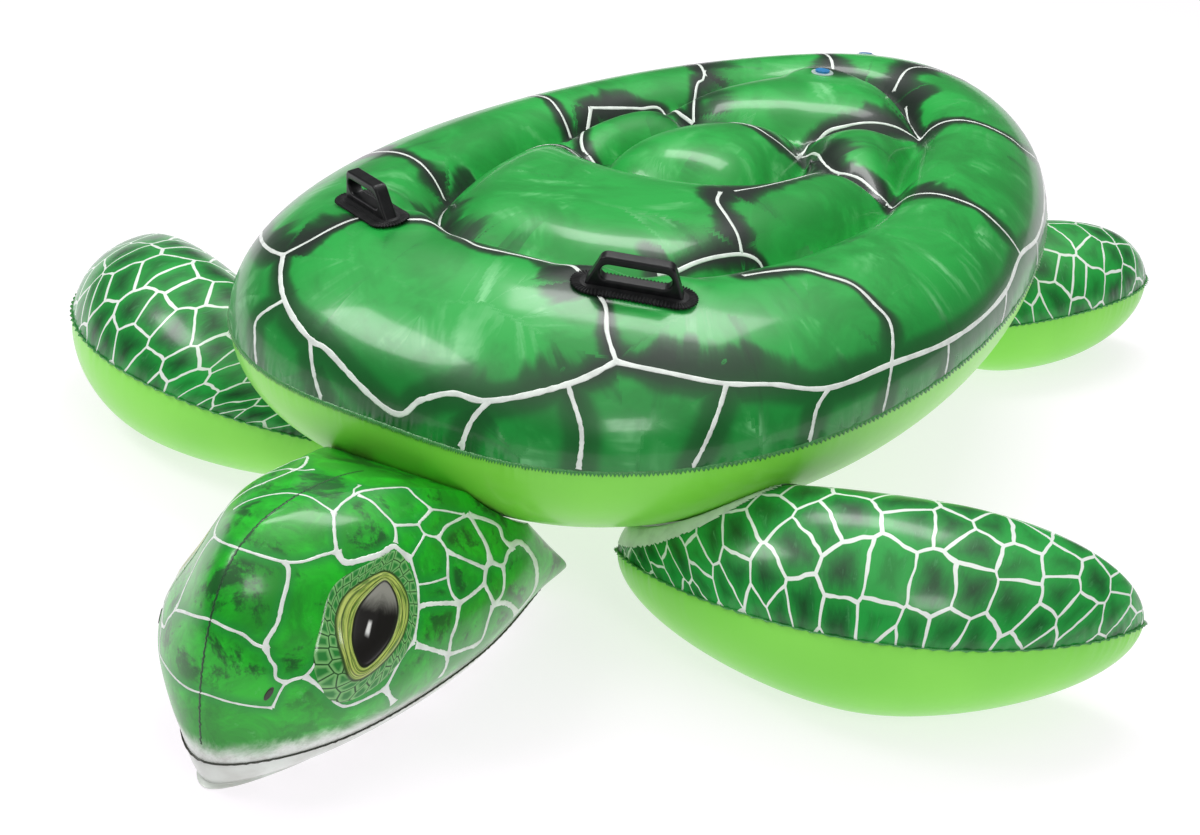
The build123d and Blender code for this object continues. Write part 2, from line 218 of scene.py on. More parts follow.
# ---- materials ---------------------------------------------------------------------------------------
class Paint:
    """One node material, with short calls for the nodes it needs."""

    def __init__(self, name, roughness, coat=0.0, coat_roughness=0.1, ior=1.5):
        self.material = bpy.data.materials.new(name)
        self.material.use_nodes = True
        self.nodes = self.material.node_tree.nodes
        self.shader = self.nodes["Principled BSDF"]
        self.settle({"Roughness": roughness, "IOR": ior, "Specular IOR Level": 0.34, "Coat Weight": coat,
                     "Coat Roughness": coat_roughness})

    def settle(self, constants):
        """Constants for inputs of the shader."""
        for name, value in constants.items():
            self.shader.inputs[name].default_value = value

    def plug(self, value, socket):
        """A link into the socket, or a constant; a colour may leave out its alpha."""
        if isinstance(value, bpy.types.NodeSocket):
            self.material.node_tree.links.new(value, socket)
        elif socket.type == "RGBA":
            socket.default_value = (*value, 1.0)
        else:
            socket.default_value = value

    def node(self, kind, inputs, **settings):
        """A new node with those settings, and with a constant or a link for each input."""
        node = self.nodes.new(kind)
        for name, value in settings.items():
            setattr(node, name, value)
        for name, value in inputs.items():
            self.plug(value, node.inputs[name])
        return node

    def attribute(self, name):
        return self.node("ShaderNodeAttribute", {}, attribute_name=name).outputs["Vector"]

    def place(self):
        return self.node("ShaderNodeTexCoord", {}).outputs["Object"]

    def split(self, vector):
        return self.node("ShaderNodeSeparateXYZ", {0: vector}).outputs

    def join(self, x, y, z):
        return self.node("ShaderNodeCombineXYZ", {0: x, 1: y, 2: z}).outputs[0]

    def math(self, operation, a, b=0.0):
        return self.node("ShaderNodeMath", {0: a, 1: b}, operation=operation).outputs[0]

    def times(self, a, b):
        return self.math("MULTIPLY", a, b)

    def plus(self, a, b):
        return self.math("ADD", a, b)

    def minus(self, a, b):
        return self.math("SUBTRACT", a, b)

    def stretch(self, vector, scale):
        return self.node("ShaderNodeVectorMath", {0: vector, 1: scale}, operation="MULTIPLY").outputs[0]

    def fit(self, value, low, high, to_low=0.0, to_high=1.0):
        """Smooth step of a value from one range to another."""
        inputs = {"Value": value, "From Min": low, "From Max": high, "To Min": to_low, "To Max": to_high}
        return self.node("ShaderNodeMapRange", inputs, interpolation_type="SMOOTHSTEP").outputs[0]

    def noise(self, vector, scale=1.0, detail=2.0, roughness=0.5, distortion=0.0):
        inputs = {"Vector": vector, "Scale": scale, "Detail": detail, "Roughness": roughness,
                  "Distortion": distortion}
        return self.node("ShaderNodeTexNoise", inputs).outputs["Fac"]

    def cells(self, vector, randomness):
        """Distance to the border of the cell that a flat place lies in."""
        inputs = {"Vector": vector, "Scale": 1.0, "Randomness": randomness}
        return self.node("ShaderNodeTexVoronoi", inputs, voronoi_dimensions="2D",
                         feature="DISTANCE_TO_EDGE").outputs["Distance"]

    def mix(self, share, a, b):
        node = self.node("ShaderNodeMix", {"Factor": share}, data_type="RGBA")
        for value, socket in zip((a, b), [socket for socket in node.inputs if socket.type == "RGBA"]):
            self.plug(value, socket)
        return [socket for socket in node.outputs if socket.type == "RGBA"][0]

    def bump(self, height, strength, distance):
        """Adds a bump on top of those that the shader has."""
        inputs = {"Strength": strength, "Distance": distance, "Height": height}
        normal = self.shader.inputs["Normal"]
        if normal.is_linked:
            inputs["Normal"] = normal.links[0].from_socket
        self.plug(self.node("ShaderNodeBump", inputs).outputs[0], normal)

    def colour(self, value):
        self.plug(value, self.shader.inputs["Base Color"])


LIME, LIME_DEEP = (0.29, 0.86, 0.085), (0.21, 0.73, 0.055)
GREEN, GREEN_MID, GREEN_DARKER = (0.014, 0.38, 0.054), (0.009, 0.27, 0.036), (0.006, 0.15, 0.025)
# the light streak green below is partly printed streaks, partly painted highlight
GREEN_DEEP, GREEN_STREAK_AND_HIGHLIGHT, CHARCOAL = (0.005, 0.065, 0.014), (0.20, 0.62, 0.25), (0.008, 0.018, 0.011)
HEAD_GREEN, HEAD_GREEN_MID, HEAD_DARK = (0.014, 0.53, 0.019), (0.009, 0.29, 0.015), (0.006, 0.095, 0.014)
SHADE_REACH = 0.0135     # usual width of the dark print beside a line
WHITE, CREAM = (0.82, 0.88, 0.82), (0.60, 0.62, 0.57)
VINYL_ROUGHNESS, VINYL_COAT, VINYL_COAT_ROUGHNESS = 0.33, 0.42, 0.11
LIME_GLOSS = (VINYL_ROUGHNESS + 0.04, VINYL_COAT * 0.8, 0.2)


def wrinkled(paint, strength=0.25):
    """The slight unevenness of blown vinyl film."""
    coarse = paint.noise(paint.place(), 26.0, 3.0, 0.55)
    fine = paint.noise(paint.place(), 240.0, 2.0, 0.5)
    paint.bump(coarse, strength, 0.0020)
    paint.bump(fine, strength * 0.5, 0.0004)


def shell_print():
    """Printed scutes: bright green, feathered dark along the lines, with light-green streaks that are partly
    print and partly painted highlight.
    """
    paint = Paint("shell_print", VINYL_ROUGHNESS, VINYL_COAT, VINYL_COAT_ROUGHNESS)
    run, edge, kind = paint.split(paint.attribute("line"))
    corner, height, _ = paint.split(paint.attribute("near"))
    streak_place = paint.join(paint.times(run, 52.0), paint.times(edge, 6.0), kind)
    streak = paint.noise(streak_place, 1.0, 3.0, 0.55, 0.2)
    broad_place = paint.join(paint.times(run, 11.0), paint.times(edge, 5.0), kind)
    broad = paint.noise(broad_place, 1.0, 2.0, 0.5, 0.2)
    patchy = paint.noise(paint.place(), 5.0, 2.0, 0.5, 0.5)
    reach = paint.times(paint.fit(streak, 0.25, 0.78, 0.62, 1.25), paint.fit(broad, 0.38, 0.68, 0.30, 1.7))
    reach = paint.times(reach, paint.fit(patchy, 0.40, 0.62, 0.22, 1.45))
    reach = paint.times(reach, paint.fit(corner, 0.0, 0.10, 1.7, 0.85))
    above_rim = paint.fit(height, 0.05, 0.13)
    reach = paint.plus(paint.times(reach, above_rim), paint.times(paint.minus(1.0, above_rim), 0.55))
    reach = paint.plus(paint.times(reach, SHADE_REACH), 0.004)
    closeness = paint.math("DIVIDE", edge, reach)
    dark = paint.fit(closeness, 0.0, 2.9, 1.0, 0.0)
    mottle = paint.noise(paint.place(), 9.0, 4.0, 0.6, 0.8)
    body = paint.mix(paint.fit(mottle, 0.36, 0.62), GREEN_MID, GREEN)
    body = paint.mix(paint.fit(height, 0.05, 0.12, 0.42, 0.0), body, GREEN_DARKER)
    smear = paint.times(paint.fit(streak, 0.46, 0.70), paint.fit(broad, 0.52, 0.64, 0.0, 0.8))
    body = paint.mix(smear, body, GREEN_DARKER)
    # light-green streaks away from the lines: partly printed streaks, partly painted highlight
    streak_and_highlight = paint.times(paint.fit(streak, 0.48, 0.76), paint.fit(edge, 0.012, 0.045))
    streak_and_highlight = paint.times(streak_and_highlight, paint.fit(mottle, 0.48, 0.64, 0.0, 0.85))
    body = paint.mix(streak_and_highlight, body, GREEN_STREAK_AND_HIGHLIGHT)
    deep = paint.times(paint.fit(dark, 0.08, 0.66), paint.fit(height, 0.04, 0.13, 0.66, 1.0))
    shaded = paint.mix(deep, body, GREEN_DEEP)
    charred = paint.times(paint.fit(dark, 0.58, 0.98), paint.fit(height, 0.04, 0.14, 0.16, 1.0))
    shaded = paint.mix(charred, shaded, CHARCOAL)
    paint.colour(shaded)
    # puckers close to the weld
    pucker = paint.noise(paint.join(paint.times(run, 300.0), paint.times(height, 40.0), 0.0), 1.0, 2.0)
    paint.bump(paint.times(pucker, paint.fit(height, 0.0, 0.02, 1.0, 0.0)), 0.5, 0.0012)
    wrinkled(paint)
    return paint.material


def tinted_vinyl(name, colour, deeper, grain, high=0.70, gloss=(VINYL_ROUGHNESS, VINYL_COAT, 0.16)):
    """Plain vinyl film, a little uneven in its colour."""
    paint = Paint(name, *gloss)
    tone = paint.noise(paint.place(), *grain)
    paint.colour(paint.mix(paint.fit(tone, 0.35, high), colour, deeper))
    wrinkled(paint)
    return paint.material


def line_print(name, colour):
    """Print of the lines between the scutes, and of the welded seams."""
    return tinted_vinyl(name, colour, tuple(0.80 * part for part in colour), (60.0, 3.0), 0.75)


def flipper_print():
    """A white net over green scales with dark middles, and light-green streaks painted as reflections."""
    paint = Paint("flipper_print", VINYL_ROUGHNESS, VINYL_COAT, 0.16)
    place = paint.attribute("flat")
    wobble = paint.noise(place, 1.1, 2.0, 0.5)
    x, y, z = paint.split(place)
    bent = paint.join(paint.plus(x, paint.times(wobble, 0.3)), paint.plus(y, paint.times(wobble, 0.3)), z)
    gap = paint.cells(bent, 0.72)
    grain = paint.noise(paint.stretch(place, (6.0, 2.2, 3.0)), 1.0, 4.0, 0.65, 0.6)
    width = paint.fit(paint.noise(place, 0.9, 2.0), 0.35, 0.65, 0.026, 0.044)
    line = paint.minus(gap, width)
    core = paint.plus(gap, paint.times(paint.minus(grain, 0.5), 0.42))
    green = paint.mix(paint.fit(core, 0.06, 0.30), GREEN_MID, GREEN_DARKER)
    green = paint.mix(paint.fit(core, 0.24, 0.52), green, GREEN_DEEP)
    green = paint.mix(paint.fit(paint.noise(place, 0.45, 1.0), 0.40, 0.62, 0.0, 0.8), green,
                      paint.mix(paint.fit(core, 0.16, 0.44), GREEN, GREEN_MID))
    # light-green streaks along the grain: painted reflection
    green = paint.mix(paint.fit(grain, 0.56, 0.80, 0.0, 0.45), green, (0.10, 0.50, 0.16))
    paint.colour(paint.mix(paint.fit(line, -0.004, 0.010), WHITE, green))
    wrinkled(paint)
    return paint.material


def head_print():
    """Printed head skin: green plates, mottled darker, fading to white at the bottom edge."""
    paint = Paint("head_print", VINYL_ROUGHNESS, VINYL_COAT, 0.14)
    _, edge, _ = paint.split(paint.attribute("line"))
    fade, _, _ = paint.split(paint.attribute("near"))
    blotch = paint.noise(paint.place(), 22.0, 5.0, 0.68, 0.5)
    fine = paint.noise(paint.place(), 70.0, 4.0, 0.7)
    body = paint.mix(paint.fit(blotch, 0.30, 0.62), HEAD_GREEN, HEAD_GREEN_MID)
    dark = paint.times(paint.fit(paint.noise(paint.place(), 15.0, 6.0, 0.72, 0.3), 0.51, 0.60),
                       paint.fit(edge, 0.002, 0.012))
    dark = paint.times(dark, paint.fit(fade, 0.05, 0.11, 0.25, 0.95))
    body = paint.mix(dark, body, HEAD_DARK)
    body = paint.mix(paint.fit(fine, 0.60, 0.80, 0.0, 0.5), body, (0.10, 0.55, 0.12))
    shade = paint.fit(edge, 0.0, 0.012, 0.75, 0.0)
    body = paint.mix(shade, body, GREEN_MID)
    ragged = paint.plus(fade, paint.times(paint.minus(blotch, 0.5), 0.05))
    grey = paint.mix(paint.fit(fine, 0.35, 0.7), WHITE, CREAM)
    paint.colour(paint.mix(paint.fit(ragged, 0.006, 0.034), grey, body))
    wrinkled(paint)
    return paint.material


def eye_print():
    """Eye drawn by its outlines: pupil up to 1, yellow lids up to 2, a ring of small scales up to 3."""
    paint = Paint("eye_print", 0.28, 0.6, 0.10)
    radius, turn, _ = paint.split(paint.attribute("polar"))
    across, up, _ = paint.split(paint.attribute("spot"))
    grain = paint.noise(paint.join(paint.times(turn, 1.5), paint.times(radius, 9.0), 0.0), 1.0, 4.0, 0.6, 0.4)
    sky = paint.fit(paint.plus(across, paint.times(grain, 0.3)), 0.30, 0.95)
    pupil = paint.mix(sky, (0.006, 0.005, 0.004), (0.30, 0.30, 0.26))
    glint = paint.times(paint.fit(paint.math("ABSOLUTE", paint.plus(up, 0.28)), 0.04, 0.13, 1.0, 0.0),
                        paint.fit(paint.math("ABSOLUTE", paint.plus(across, 0.22)), 0.08, 0.24, 1.0, 0.0))
    pupil = paint.mix(glint, pupil, (0.78, 0.79, 0.76))
    lids = paint.mix(paint.fit(grain, 0.36, 0.60), (0.12, 0.24, 0.03), (0.52, 0.62, 0.14))
    rings = paint.math("SINE", paint.times(paint.plus(radius, paint.times(grain, 0.10)), 19.0))
    lids = paint.mix(paint.fit(rings, 0.45, 1.0, 0.0, 0.75), lids, (0.03, 0.06, 0.010))
    eye = paint.mix(paint.fit(radius, 0.94, 1.0), pupil, (0.010, 0.014, 0.005))
    eye = paint.mix(paint.fit(radius, 1.04, 1.12), eye, lids)
    eye = paint.mix(paint.fit(radius, 1.86, 2.02), eye, (0.03, 0.07, 0.015))
    ring_place = paint.join(paint.times(turn, 5.0), paint.times(radius, 1.9), 0.0)
    gap = paint.cells(ring_place, 0.60)
    scale = paint.mix(paint.fit(gap, 0.10, 0.34), (0.20, 0.50, 0.16), (0.022, 0.22, 0.036))
    scale = paint.mix(paint.fit(gap, 0.02, 0.08), (0.012, 0.07, 0.014), scale)
    paint.colour(paint.mix(paint.fit(radius, 2.02, 2.14), eye, scale))
    wrinkled(paint, 0.15)
    return paint.material


def black_plastic(name, roughness):
    """Near-black moulded plastic or rubber."""
    paint = Paint(name, roughness, 0.05, 0.25)
    paint.settle({"Specular IOR Level": 0.24})
    tone = paint.noise(paint.place(), 90.0, 3.0)
    paint.colour(paint.mix(paint.fit(tone, 0.3, 0.7), (0.004, 0.0045, 0.005), (0.010, 0.0105, 0.011)))
    paint.bump(paint.noise(paint.place(), 900.0, 2.0), 0.12, 0.0003)
    return paint.material


def clear_vinyl(name, colour, through, roughness=0.22):
    """Translucent moulded vinyl, as of a valve or a weld patch."""
    paint = Paint(name, roughness, 0.3, 0.1, 1.45)
    paint.settle({"Transmission Weight": through})
    tone = paint.noise(paint.place(), 160.0, 2.0)
    paint.colour(paint.mix(paint.fit(tone, 0.3, 0.7), colour, tuple(0.86 * part for part in colour)))
    paint.bump(tone, 0.1, 0.0003)
    return paint.material


MATERIALS = {
    "shell_print": shell_print(),
    "lime_vinyl": tinted_vinyl("lime_vinyl", LIME, LIME_DEEP, (3.5, 2.0), gloss=LIME_GLOSS),
    "flipper_print": flipper_print(),
    "head_print": head_print(),
    "chin_vinyl": tinted_vinyl("chin_vinyl", WHITE, CREAM, (14.0, 4.0, 0.6, 0.4), 0.72),
    "eye_print": eye_print(),
    "line_white": line_print("line_white", WHITE),
    "patch_white": line_print("patch_white", (0.80, 0.86, 0.80)),
    "handle_rubber": black_plastic("handle_rubber", 0.55),
    "handle_plastic": black_plastic("handle_plastic", 0.33),
    "valve_clear": clear_vinyl("valve_clear", (0.62, 0.78, 0.74), 0.35),
    "valve_blue": clear_vinyl("valve_blue", (0.03, 0.24, 0.55), 0.10),
    "seam_green": line_print("seam_green", (0.06, 0.30, 0.07)),
    "seam_dark": line_print("seam_dark", (0.010, 0.075, 0.018)),
    "seam_black": line_print("seam_black", (0.030, 0.036, 0.022)),
}

# ---- shell: creases pulled down by the baffles inside ------------------------------------------------
# plan points of a crease with its depth there: (x, y, depth)
RING_CREASE = [
    (-0.005, -0.250, 0.032), (0.043, -0.248, 0.033), (0.090, -0.240, 0.036), (0.135, -0.212, 0.042),
    (0.172, -0.160, 0.048), (0.192, -0.095, 0.054), (0.205, -0.045, 0.058), (0.214, 0.045, 0.060),
    (0.216, 0.141, 0.060), (0.206, 0.235, 0.056), (0.160, 0.372, 0.056), (0.128, 0.480, 0.050),
    (0.070, 0.560, 0.046), (0.010, 0.606, 0.040), (-0.060, 0.592, 0.042), (-0.120, 0.522, 0.048),
    (-0.165, 0.392, 0.054), (-0.206, 0.260, 0.056), (-0.219, 0.141, 0.060), (-0.212, 0.035, 0.060),
    (-0.200, -0.075, 0.060), (-0.172, -0.163, 0.052), (-0.136, -0.222, 0.042), (-0.096, -0.250, 0.036),
    (-0.052, -0.256, 0.033),
]
SEAT_CREASE = [
    (-0.035, 0.058, 0.066), (0.005, 0.066, 0.066), (0.040, 0.082, 0.066), (0.066, 0.112, 0.065),
    (0.078, 0.160, 0.064), (0.074, 0.225, 0.062), (0.055, 0.300, 0.058), (0.012, 0.362, 0.054),
    (-0.026, 0.338, 0.054), (-0.060, 0.310, 0.056), (-0.095, 0.275, 0.060), (-0.122, 0.215, 0.063),
    (-0.132, 0.140, 0.065), (-0.118, 0.082, 0.066), (-0.080, 0.060, 0.066),
]
ARM_CREASES = [
    [(0.076, 0.200, 0.058), (0.106, 0.236, 0.052), (0.135, 0.246, 0.050), (0.170, 0.243, 0.050),
     (0.208, 0.235, 0.054)],
    [(0.055, 0.300, 0.050), (0.085, 0.285, 0.038), (0.130, 0.248, 0.044)],
    [(0.012, 0.362, 0.052), (0.060, 0.409, 0.046), (0.090, 0.436, 0.044), (0.126, 0.482, 0.050)],
    [(-0.095, 0.275, 0.058), (-0.128, 0.310, 0.050), (-0.185, 0.335, 0.052)],
    [(-0.130, 0.120, 0.062), (-0.155, 0.112, 0.048), (-0.205, 0.150, 0.052)],
]
PILLOW_REACH = 0.032    # how fast the sheet bulges back to its full height beside a crease
WELL_RISE = 0.005       # the pillows inside the ring bulge a little higher than the plain crown
CREASE_SHARP, CREASE_BAND, CREASE_SLOPE = 0.002, 0.006, 22.0
# CAD nodes at which the sheet keeps its full height, and the distances over which it starts to drop
HARDWARE = ("crown_valve_flange", "left_handle_patch", "right_handle_patch")
HARDWARE_REACH = (0.008, 0.045)
FIELD_STEP, FIELD_ROUNDS = 0.003, 420       # grid step and rounds of relaxing
FIELD_X, FIELD_Y = np.arange(-0.42, 0.421, FIELD_STEP), np.arange(-0.54, 0.861, FIELD_STEP)


def well_share(plan_points):
    """1 inside the ring crease, 0 outside it."""
    line = smooth_line(RING_CREASE, True, 8)[:, :2] - (0, CENTRE_Y)
    around = np.arctan2(line[:, 1], line[:, 0])
    order = np.argsort(around)
    reach = np.interp(np.arctan2(plan_points[:, 1] - CENTRE_Y, plan_points[:, 0]), around[order],
                      np.hypot(*line.T)[order], period=2 * pi)
    return ease(reach - np.hypot(plan_points[:, 0], plan_points[:, 1] - CENTRE_Y), 0.0, 0.05)


def drop_field():
    """Drop of the top sheet over the plan: a blown film, held down along the creases, relaxed on a grid."""
    plan = np.stack(np.meshgrid(FIELD_X, FIELD_Y), -1)
    flat, shape = plan.reshape(-1, 2), plan.shape[:2]
    held = np.zeros(len(flat))
    for crease, closed in [(RING_CREASE, True), (SEAT_CREASE, True)] + [(arm, False) for arm in ARM_CREASES]:
        line = smooth_line(crease, closed, 24)
        distance, index = nearest(line[:, :2], flat)
        depth = line[index, 2] * (1 - CREASE_SLOPE * (np.hypot(distance, CREASE_SHARP) - CREASE_SHARP))
        held = np.maximum(held, np.where(distance < CREASE_BAND, depth, 0))
    held = held.reshape(shape)
    rest = -WELL_RISE * well_share(flat).reshape(shape)
    pull = (FIELD_STEP / PILLOW_REACH) ** 2
    drop = held.copy()
    for _ in range(FIELD_ROUNDS):
        around = drop[:-2, 1:-1] + drop[2:, 1:-1] + drop[1:-1, :-2] + drop[1:-1, 2:]
        drop[1:-1, 1:-1] = (around + pull * rest[1:-1, 1:-1]) / (4 + pull)
        drop = np.where(held > 0, held, drop)
    hardware = np.vstack([cad_points(node)[:, :2] for node in HARDWARE])
    distance, _ = nearest(hardware, flat)
    return drop * ease(distance, *HARDWARE_REACH).reshape(shape)


def sample_field(field, points):
    """Bilinear value of a field over the plan at each point."""
    column, row = ((points - (FIELD_X[0], FIELD_Y[0])) / FIELD_STEP).T
    left, low = np.floor(column).astype(int), np.floor(row).astype(int)
    across, up = column - left, row - low
    lower = field[low, left] * (1 - across) + field[low, left + 1] * across
    upper = field[low + 1, left] * (1 - across) + field[low + 1, left + 1] * across
    return lower * (1 - up) + upper * up


TURNS = np.linspace(0, 2 * pi, 760, endpoint=False)
SEAM_ROWS, TOP_ROWS, BOTTOM_ROWS = 22, 150, 90      # rows of points close to the seam, and in all
SEAM_LEVEL, LAST_LEVEL = 0.12, 1.985
PILLOW_LEVELS = (0.15, 0.55)            # levels between which the pillows' shape comes in
CRINKLE_SIZE, CRINKLE_REACH = 0.0011, 0.011


def seam_crinkle(arc, seed):
    """Small puckers that run in from the weld and die out; arc is the distance from the weld."""
    ripple = waves(TURNS, (150, 187, 233, 281), seed) + 0.5 * waves(TURNS, (61, 84), seed + 1)
    return CRINKLE_SIZE * ripple[None, :] * np.exp(-arc / CRINKLE_REACH) * ease(arc, 0.0, 0.002)


def skin_grid(height, rows):
    """Grid of one shell sheet from the seam to the middle, and the distances from the seam."""
    level = np.concatenate([np.linspace(0, SEAM_LEVEL, SEAM_ROWS, endpoint=False),
                            np.linspace(SEAM_LEVEL, 1, rows // 2, endpoint=False),
                            np.linspace(1, LAST_LEVEL, rows - rows // 2 - SEAM_ROWS)])
    turn_grid, level_grid = np.meshgrid(TURNS, level)
    points = shell_point(turn_grid, level_grid, height)
    if height > 0:
        drop = sample_field(drop_field(), points[..., :2].reshape(-1, 2)).reshape(points.shape[:2])
        points[..., 2] -= drop * ease(level_grid, *PILLOW_LEVELS)
    arc = run_along(points)
    outward = grid_normals(points) * np.sign(height)
    points += outward * seam_crinkle(arc, 7 if height > 0 else 11)[..., None]
    return points, arc


top_grid, top_arc = skin_grid(RISE, TOP_ROWS)
top_skin = join_middle(top_grid)
top_tree = skin_tree(*top_skin)
bottom_skin = join_middle(skin_grid(-DROP, BOTTOM_ROWS)[0])
bottom_tree = skin_tree(*bottom_skin)

# ---- shell: white lines between the scutes -----------------------------------------------------------
# (turn in degrees, level) on the rim, with the line's width in millimetres first
RIM_LINES = [
    (8, [(-53, .45), (-40, .34), (-26, .25), (-19, .23), (4, .07), (12, .17), (20, .24), (29, .25), (44, .37),
         (52, .47)]),
    (6, [(52, .47), (50.2, .59), (49.3, .72), (44.5, .82)]),
    (6, [(-53, .45), (-52, .56), (-53, .73), (-48.3, .79)]),
    (6, [(-53, .45), (-74, .25), (-80, .0)]),
    (6, [(-40, .34), (-44, .20), (-42, .11), (-40, 0)]),
    (6, [(-26, .25), (-22, .13), (-18, 0)]),
    (7, [(29, .25), (26, .15), (24, 0)]),
    (6, [(44, .37), (47, .19), (47, 0)]),
    (7, [(52, .47), (60, .42), (68, .35), (74, .31), (81, .23), (90, .22), (99, .17), (106, .15), (112, .16),
         (118, .22), (124, .16), (130, .15), (137, .17), (144, .18), (152, .24), (160, .20), (168, .26),
         (178, .22), (188, .26), (198, .20), (208, .24), (218, .18), (228, .23), (238, .18), (248, .24),
         (258, .20), (268, .24), (278, .20), (286, .25)]),
    (6, [(68, .35), (66, .21), (63, 0)]),
    (6, [(81, .23), (79, .15), (78, 0)]),
    (5, [(90, .22), (89, .13), (88, 0)]),
    *[(5, [spot, (foot, 0)]) for spot, foot in (
        ((99, .17), 98), ((112, .16), 110), ((124, .16), 123), ((137, .17), 138), ((152, .24), 151),
        ((168, .26), 168), ((188, .26), 189), ((208, .24), 207), ((228, .23), 229), ((248, .24), 247),
        ((268, .24), 269))],
    (6, [(90, .22), (91.9, .38), (91.4, .48), (90.5, .59), (88.1, .67), (85.7, .74), (81.5, .78), (77, .80)]),
    (5, [(118, .22), (117.9, .43), (117.9, .54), (117, .67), (117, .78), (118.9, .87), (118.9, .92)]),
    (5, [(144, .18), (141.2, .38), (141.6, .48), (142.1, .60), (143.1, .71), (144.5, .80), (146.4, .89),
         (146.4, .94)]),
    (5, [(168, .26), (167.7, .52), (172, .68), (174.5, .82), (173, .95)]),
    (5, [(198, .20), (201, .58), (199.4, .68), (196, .88), (194.7, 1.04)]),
    (5, [(218, .18), (222, .45), (222.2, .57), (221.2, .65), (221.7, .79)]),
    (5, [(238, .18), (243, .45), (244.6, .60), (245.2, .70), (246, .78), (246.6, .86)]),
    (5, [(268, .24), (268, .44), (272, .64), (275.2, .77), (277.6, .85), (280, .92)]),
]
# plan (x, y) on the crown
CROWN_LINES = [
    (6, [(-.141, -.315), (-.112, -.300), (-.080, -.284), (-.050, -.290), (-.019, -.306), (.008, -.302),
         (.038, -.294), (.068, -.289), (.094, -.293), (.121, -.310)]),
    (5, [(-.080, -.284), (-.123, -.232), (-.170, -.158), (-.185, -.122), (-.192, -.085), (-.188, -.045),
         (-.182, -.005), (-.170, .030), (-.157, .055), (-.143, .082), (-.135, .115)]),
    (5, [(-.233, .247), (-.225, .233), (-.192, .165), (-.176, .140), (-.159, .123), (-.135, .115)]),
    (4, [(-.233, .247), (-.218, .284), (-.202, .320), (-.184, .352), (-.143, .329), (-.116, .313)]),
    (4, [(-.190, .466), (-.180, .445), (-.177, .423), (-.136, .346), (-.116, .313)]),
    (4, [(-.050, .262), (-.007, .265), (.020, .264), (.038, .279), (.045, .297)]),
    (4, [(.045, .297), (.036, .332), (.051, .329), (.087, .286), (.119, .265), (.152, .261), (.181, .251),
         (.203, .245)]),
    (4, [(.040, .311), (.028, .352), (.032, .393), (.052, .422), (.079, .452), (.100, .473), (.114, .484),
         (.124, .493)]),
    (3, [(.060, .580), (.092, .531), (.124, .493)]),
    (5, [(.135, -.190), (.147, -.172), (.155, -.145), (.164, -.113), (.176, -.078), (.189, -.060),
         (.202, -.062)]),
    (5, [(.098, .005), (.112, -.026), (.139, -.050), (.162, -.065), (.176, -.078)]),
    (4, [(.108, .020), (.120, .064), (.125, .114), (.130, .160), (.127, .210), (.120, .262)]),
]
LINE_SPACING, LINE_LIFT, LINE_BASE = 0.004, 0.00035, -0.0006
LINE_UNEVEN, KNOT_STEPS = (0.82, 1.2), 7    # range of a line's width, and points between two widths
LINE_EDGE = 0.75            # how far a line's edges come down to the skin
FLARE_REACH = 1.1           # how far a line's wider end runs in, in widths
SHELL_LINE_SHARE = 0.74     # width of the strips for the widths given above
CROWN_CAST = 0.36           # height from which the crown's lines are dropped onto the skin
LEVEL_RANGE = (0.012, 1.9)  # levels that a rim line may reach


def on_skin(tree, point, normal, reach=0.08):
    """Where a line through point along normal meets a skin from outside, and the skin's normal."""
    start = Vector(point) + Vector(normal) * reach
    hit, facing, _, _ = tree.ray_cast(start, -Vector(normal), 2 * reach)
    if hit is None:
        hit, facing, _, _ = tree.find_nearest(Vector(point))
    if facing.dot(Vector(normal)) < 0:
        facing = -facing
    return hit, facing


def rim_path(points):
    """Points and outward normals along a rim line, on the plain shell."""
    line = smooth_line(points, steps=16)
    turn, level = np.radians(line[:, 0]), np.clip(line[:, 1], *LEVEL_RANGE)
    spots = shell_point(turn, level)
    step = 0.002
    around = shell_point(turn + step, level) - spots
    upward = shell_point(turn, level + step) - spots
    normal = np.cross(around, upward)
    normal /= np.linalg.norm(normal, axis=1, keepdims=True)
    both = even(np.hstack([spots, normal]), LINE_SPACING)
    return both[:, :3], both[:, 3:]


def crown_path(points):
    """Points above a line on the crown, and the upward direction at each."""
    line = even(smooth_line(points, steps=16), LINE_SPACING)
    spots = np.column_stack([line, np.full(len(line), CROWN_CAST)])
    return spots, np.tile(UP, (len(line), 1))


class Ribbons:
    """Thin raised strips laid on a skin, gathered into one mesh."""

    ACROSS = (-1.0, -0.6, 0.0, 0.6, 1.0)

    def __init__(self, tree, seed):
        self.tree, self.points, self.quads = tree, [], []
        self.random = np.random.default_rng(seed)

    def lay(self, spots, normals, width, flare=0.0):
        """One strip of about that width, a little uneven, and wider at its ends where it joins others."""
        count = len(spots)
        side = np.cross(normals, np.gradient(spots, axis=0))
        side /= np.maximum(np.linalg.norm(side, axis=1, keepdims=True), 1e-9)
        knots = self.random.uniform(*LINE_UNEVEN, max(3, count // KNOT_STEPS))
        uneven = np.interp(np.linspace(0, 1, count), np.linspace(0, 1, len(knots)), knots)
        run = run_along(spots)
        from_end = np.minimum(run, run[-1] - run)
        half = 0.5 * width * uneven * (1 + flare * np.exp(-from_end / (FLARE_REACH * width)))
        start, around = len(self.points), 2 * len(self.ACROSS)
        for index in range(count):
            upper, lower = [], []
            for share in self.ACROSS:
                spot = spots[index] + side[index] * share * half[index]
                hit, facing = on_skin(self.tree, spot, normals[index])
                upper.append(tuple(hit + facing * LINE_LIFT * (1 - LINE_EDGE * share * share)))
                lower.append(tuple(hit + facing * LINE_BASE))
            self.points += upper + lower[::-1]
        self.quads += (start + grid_faces(count, around)).tolist()
        for row in (0, count - 1):
            here = start + row * around
            for column in range(len(self.ACROSS) - 1):
                other = around - 1 - column
                quad = (here + column, here + other, here + other - 1, here + column + 1)
                self.quads.append(quad if row == 0 else quad[::-1])


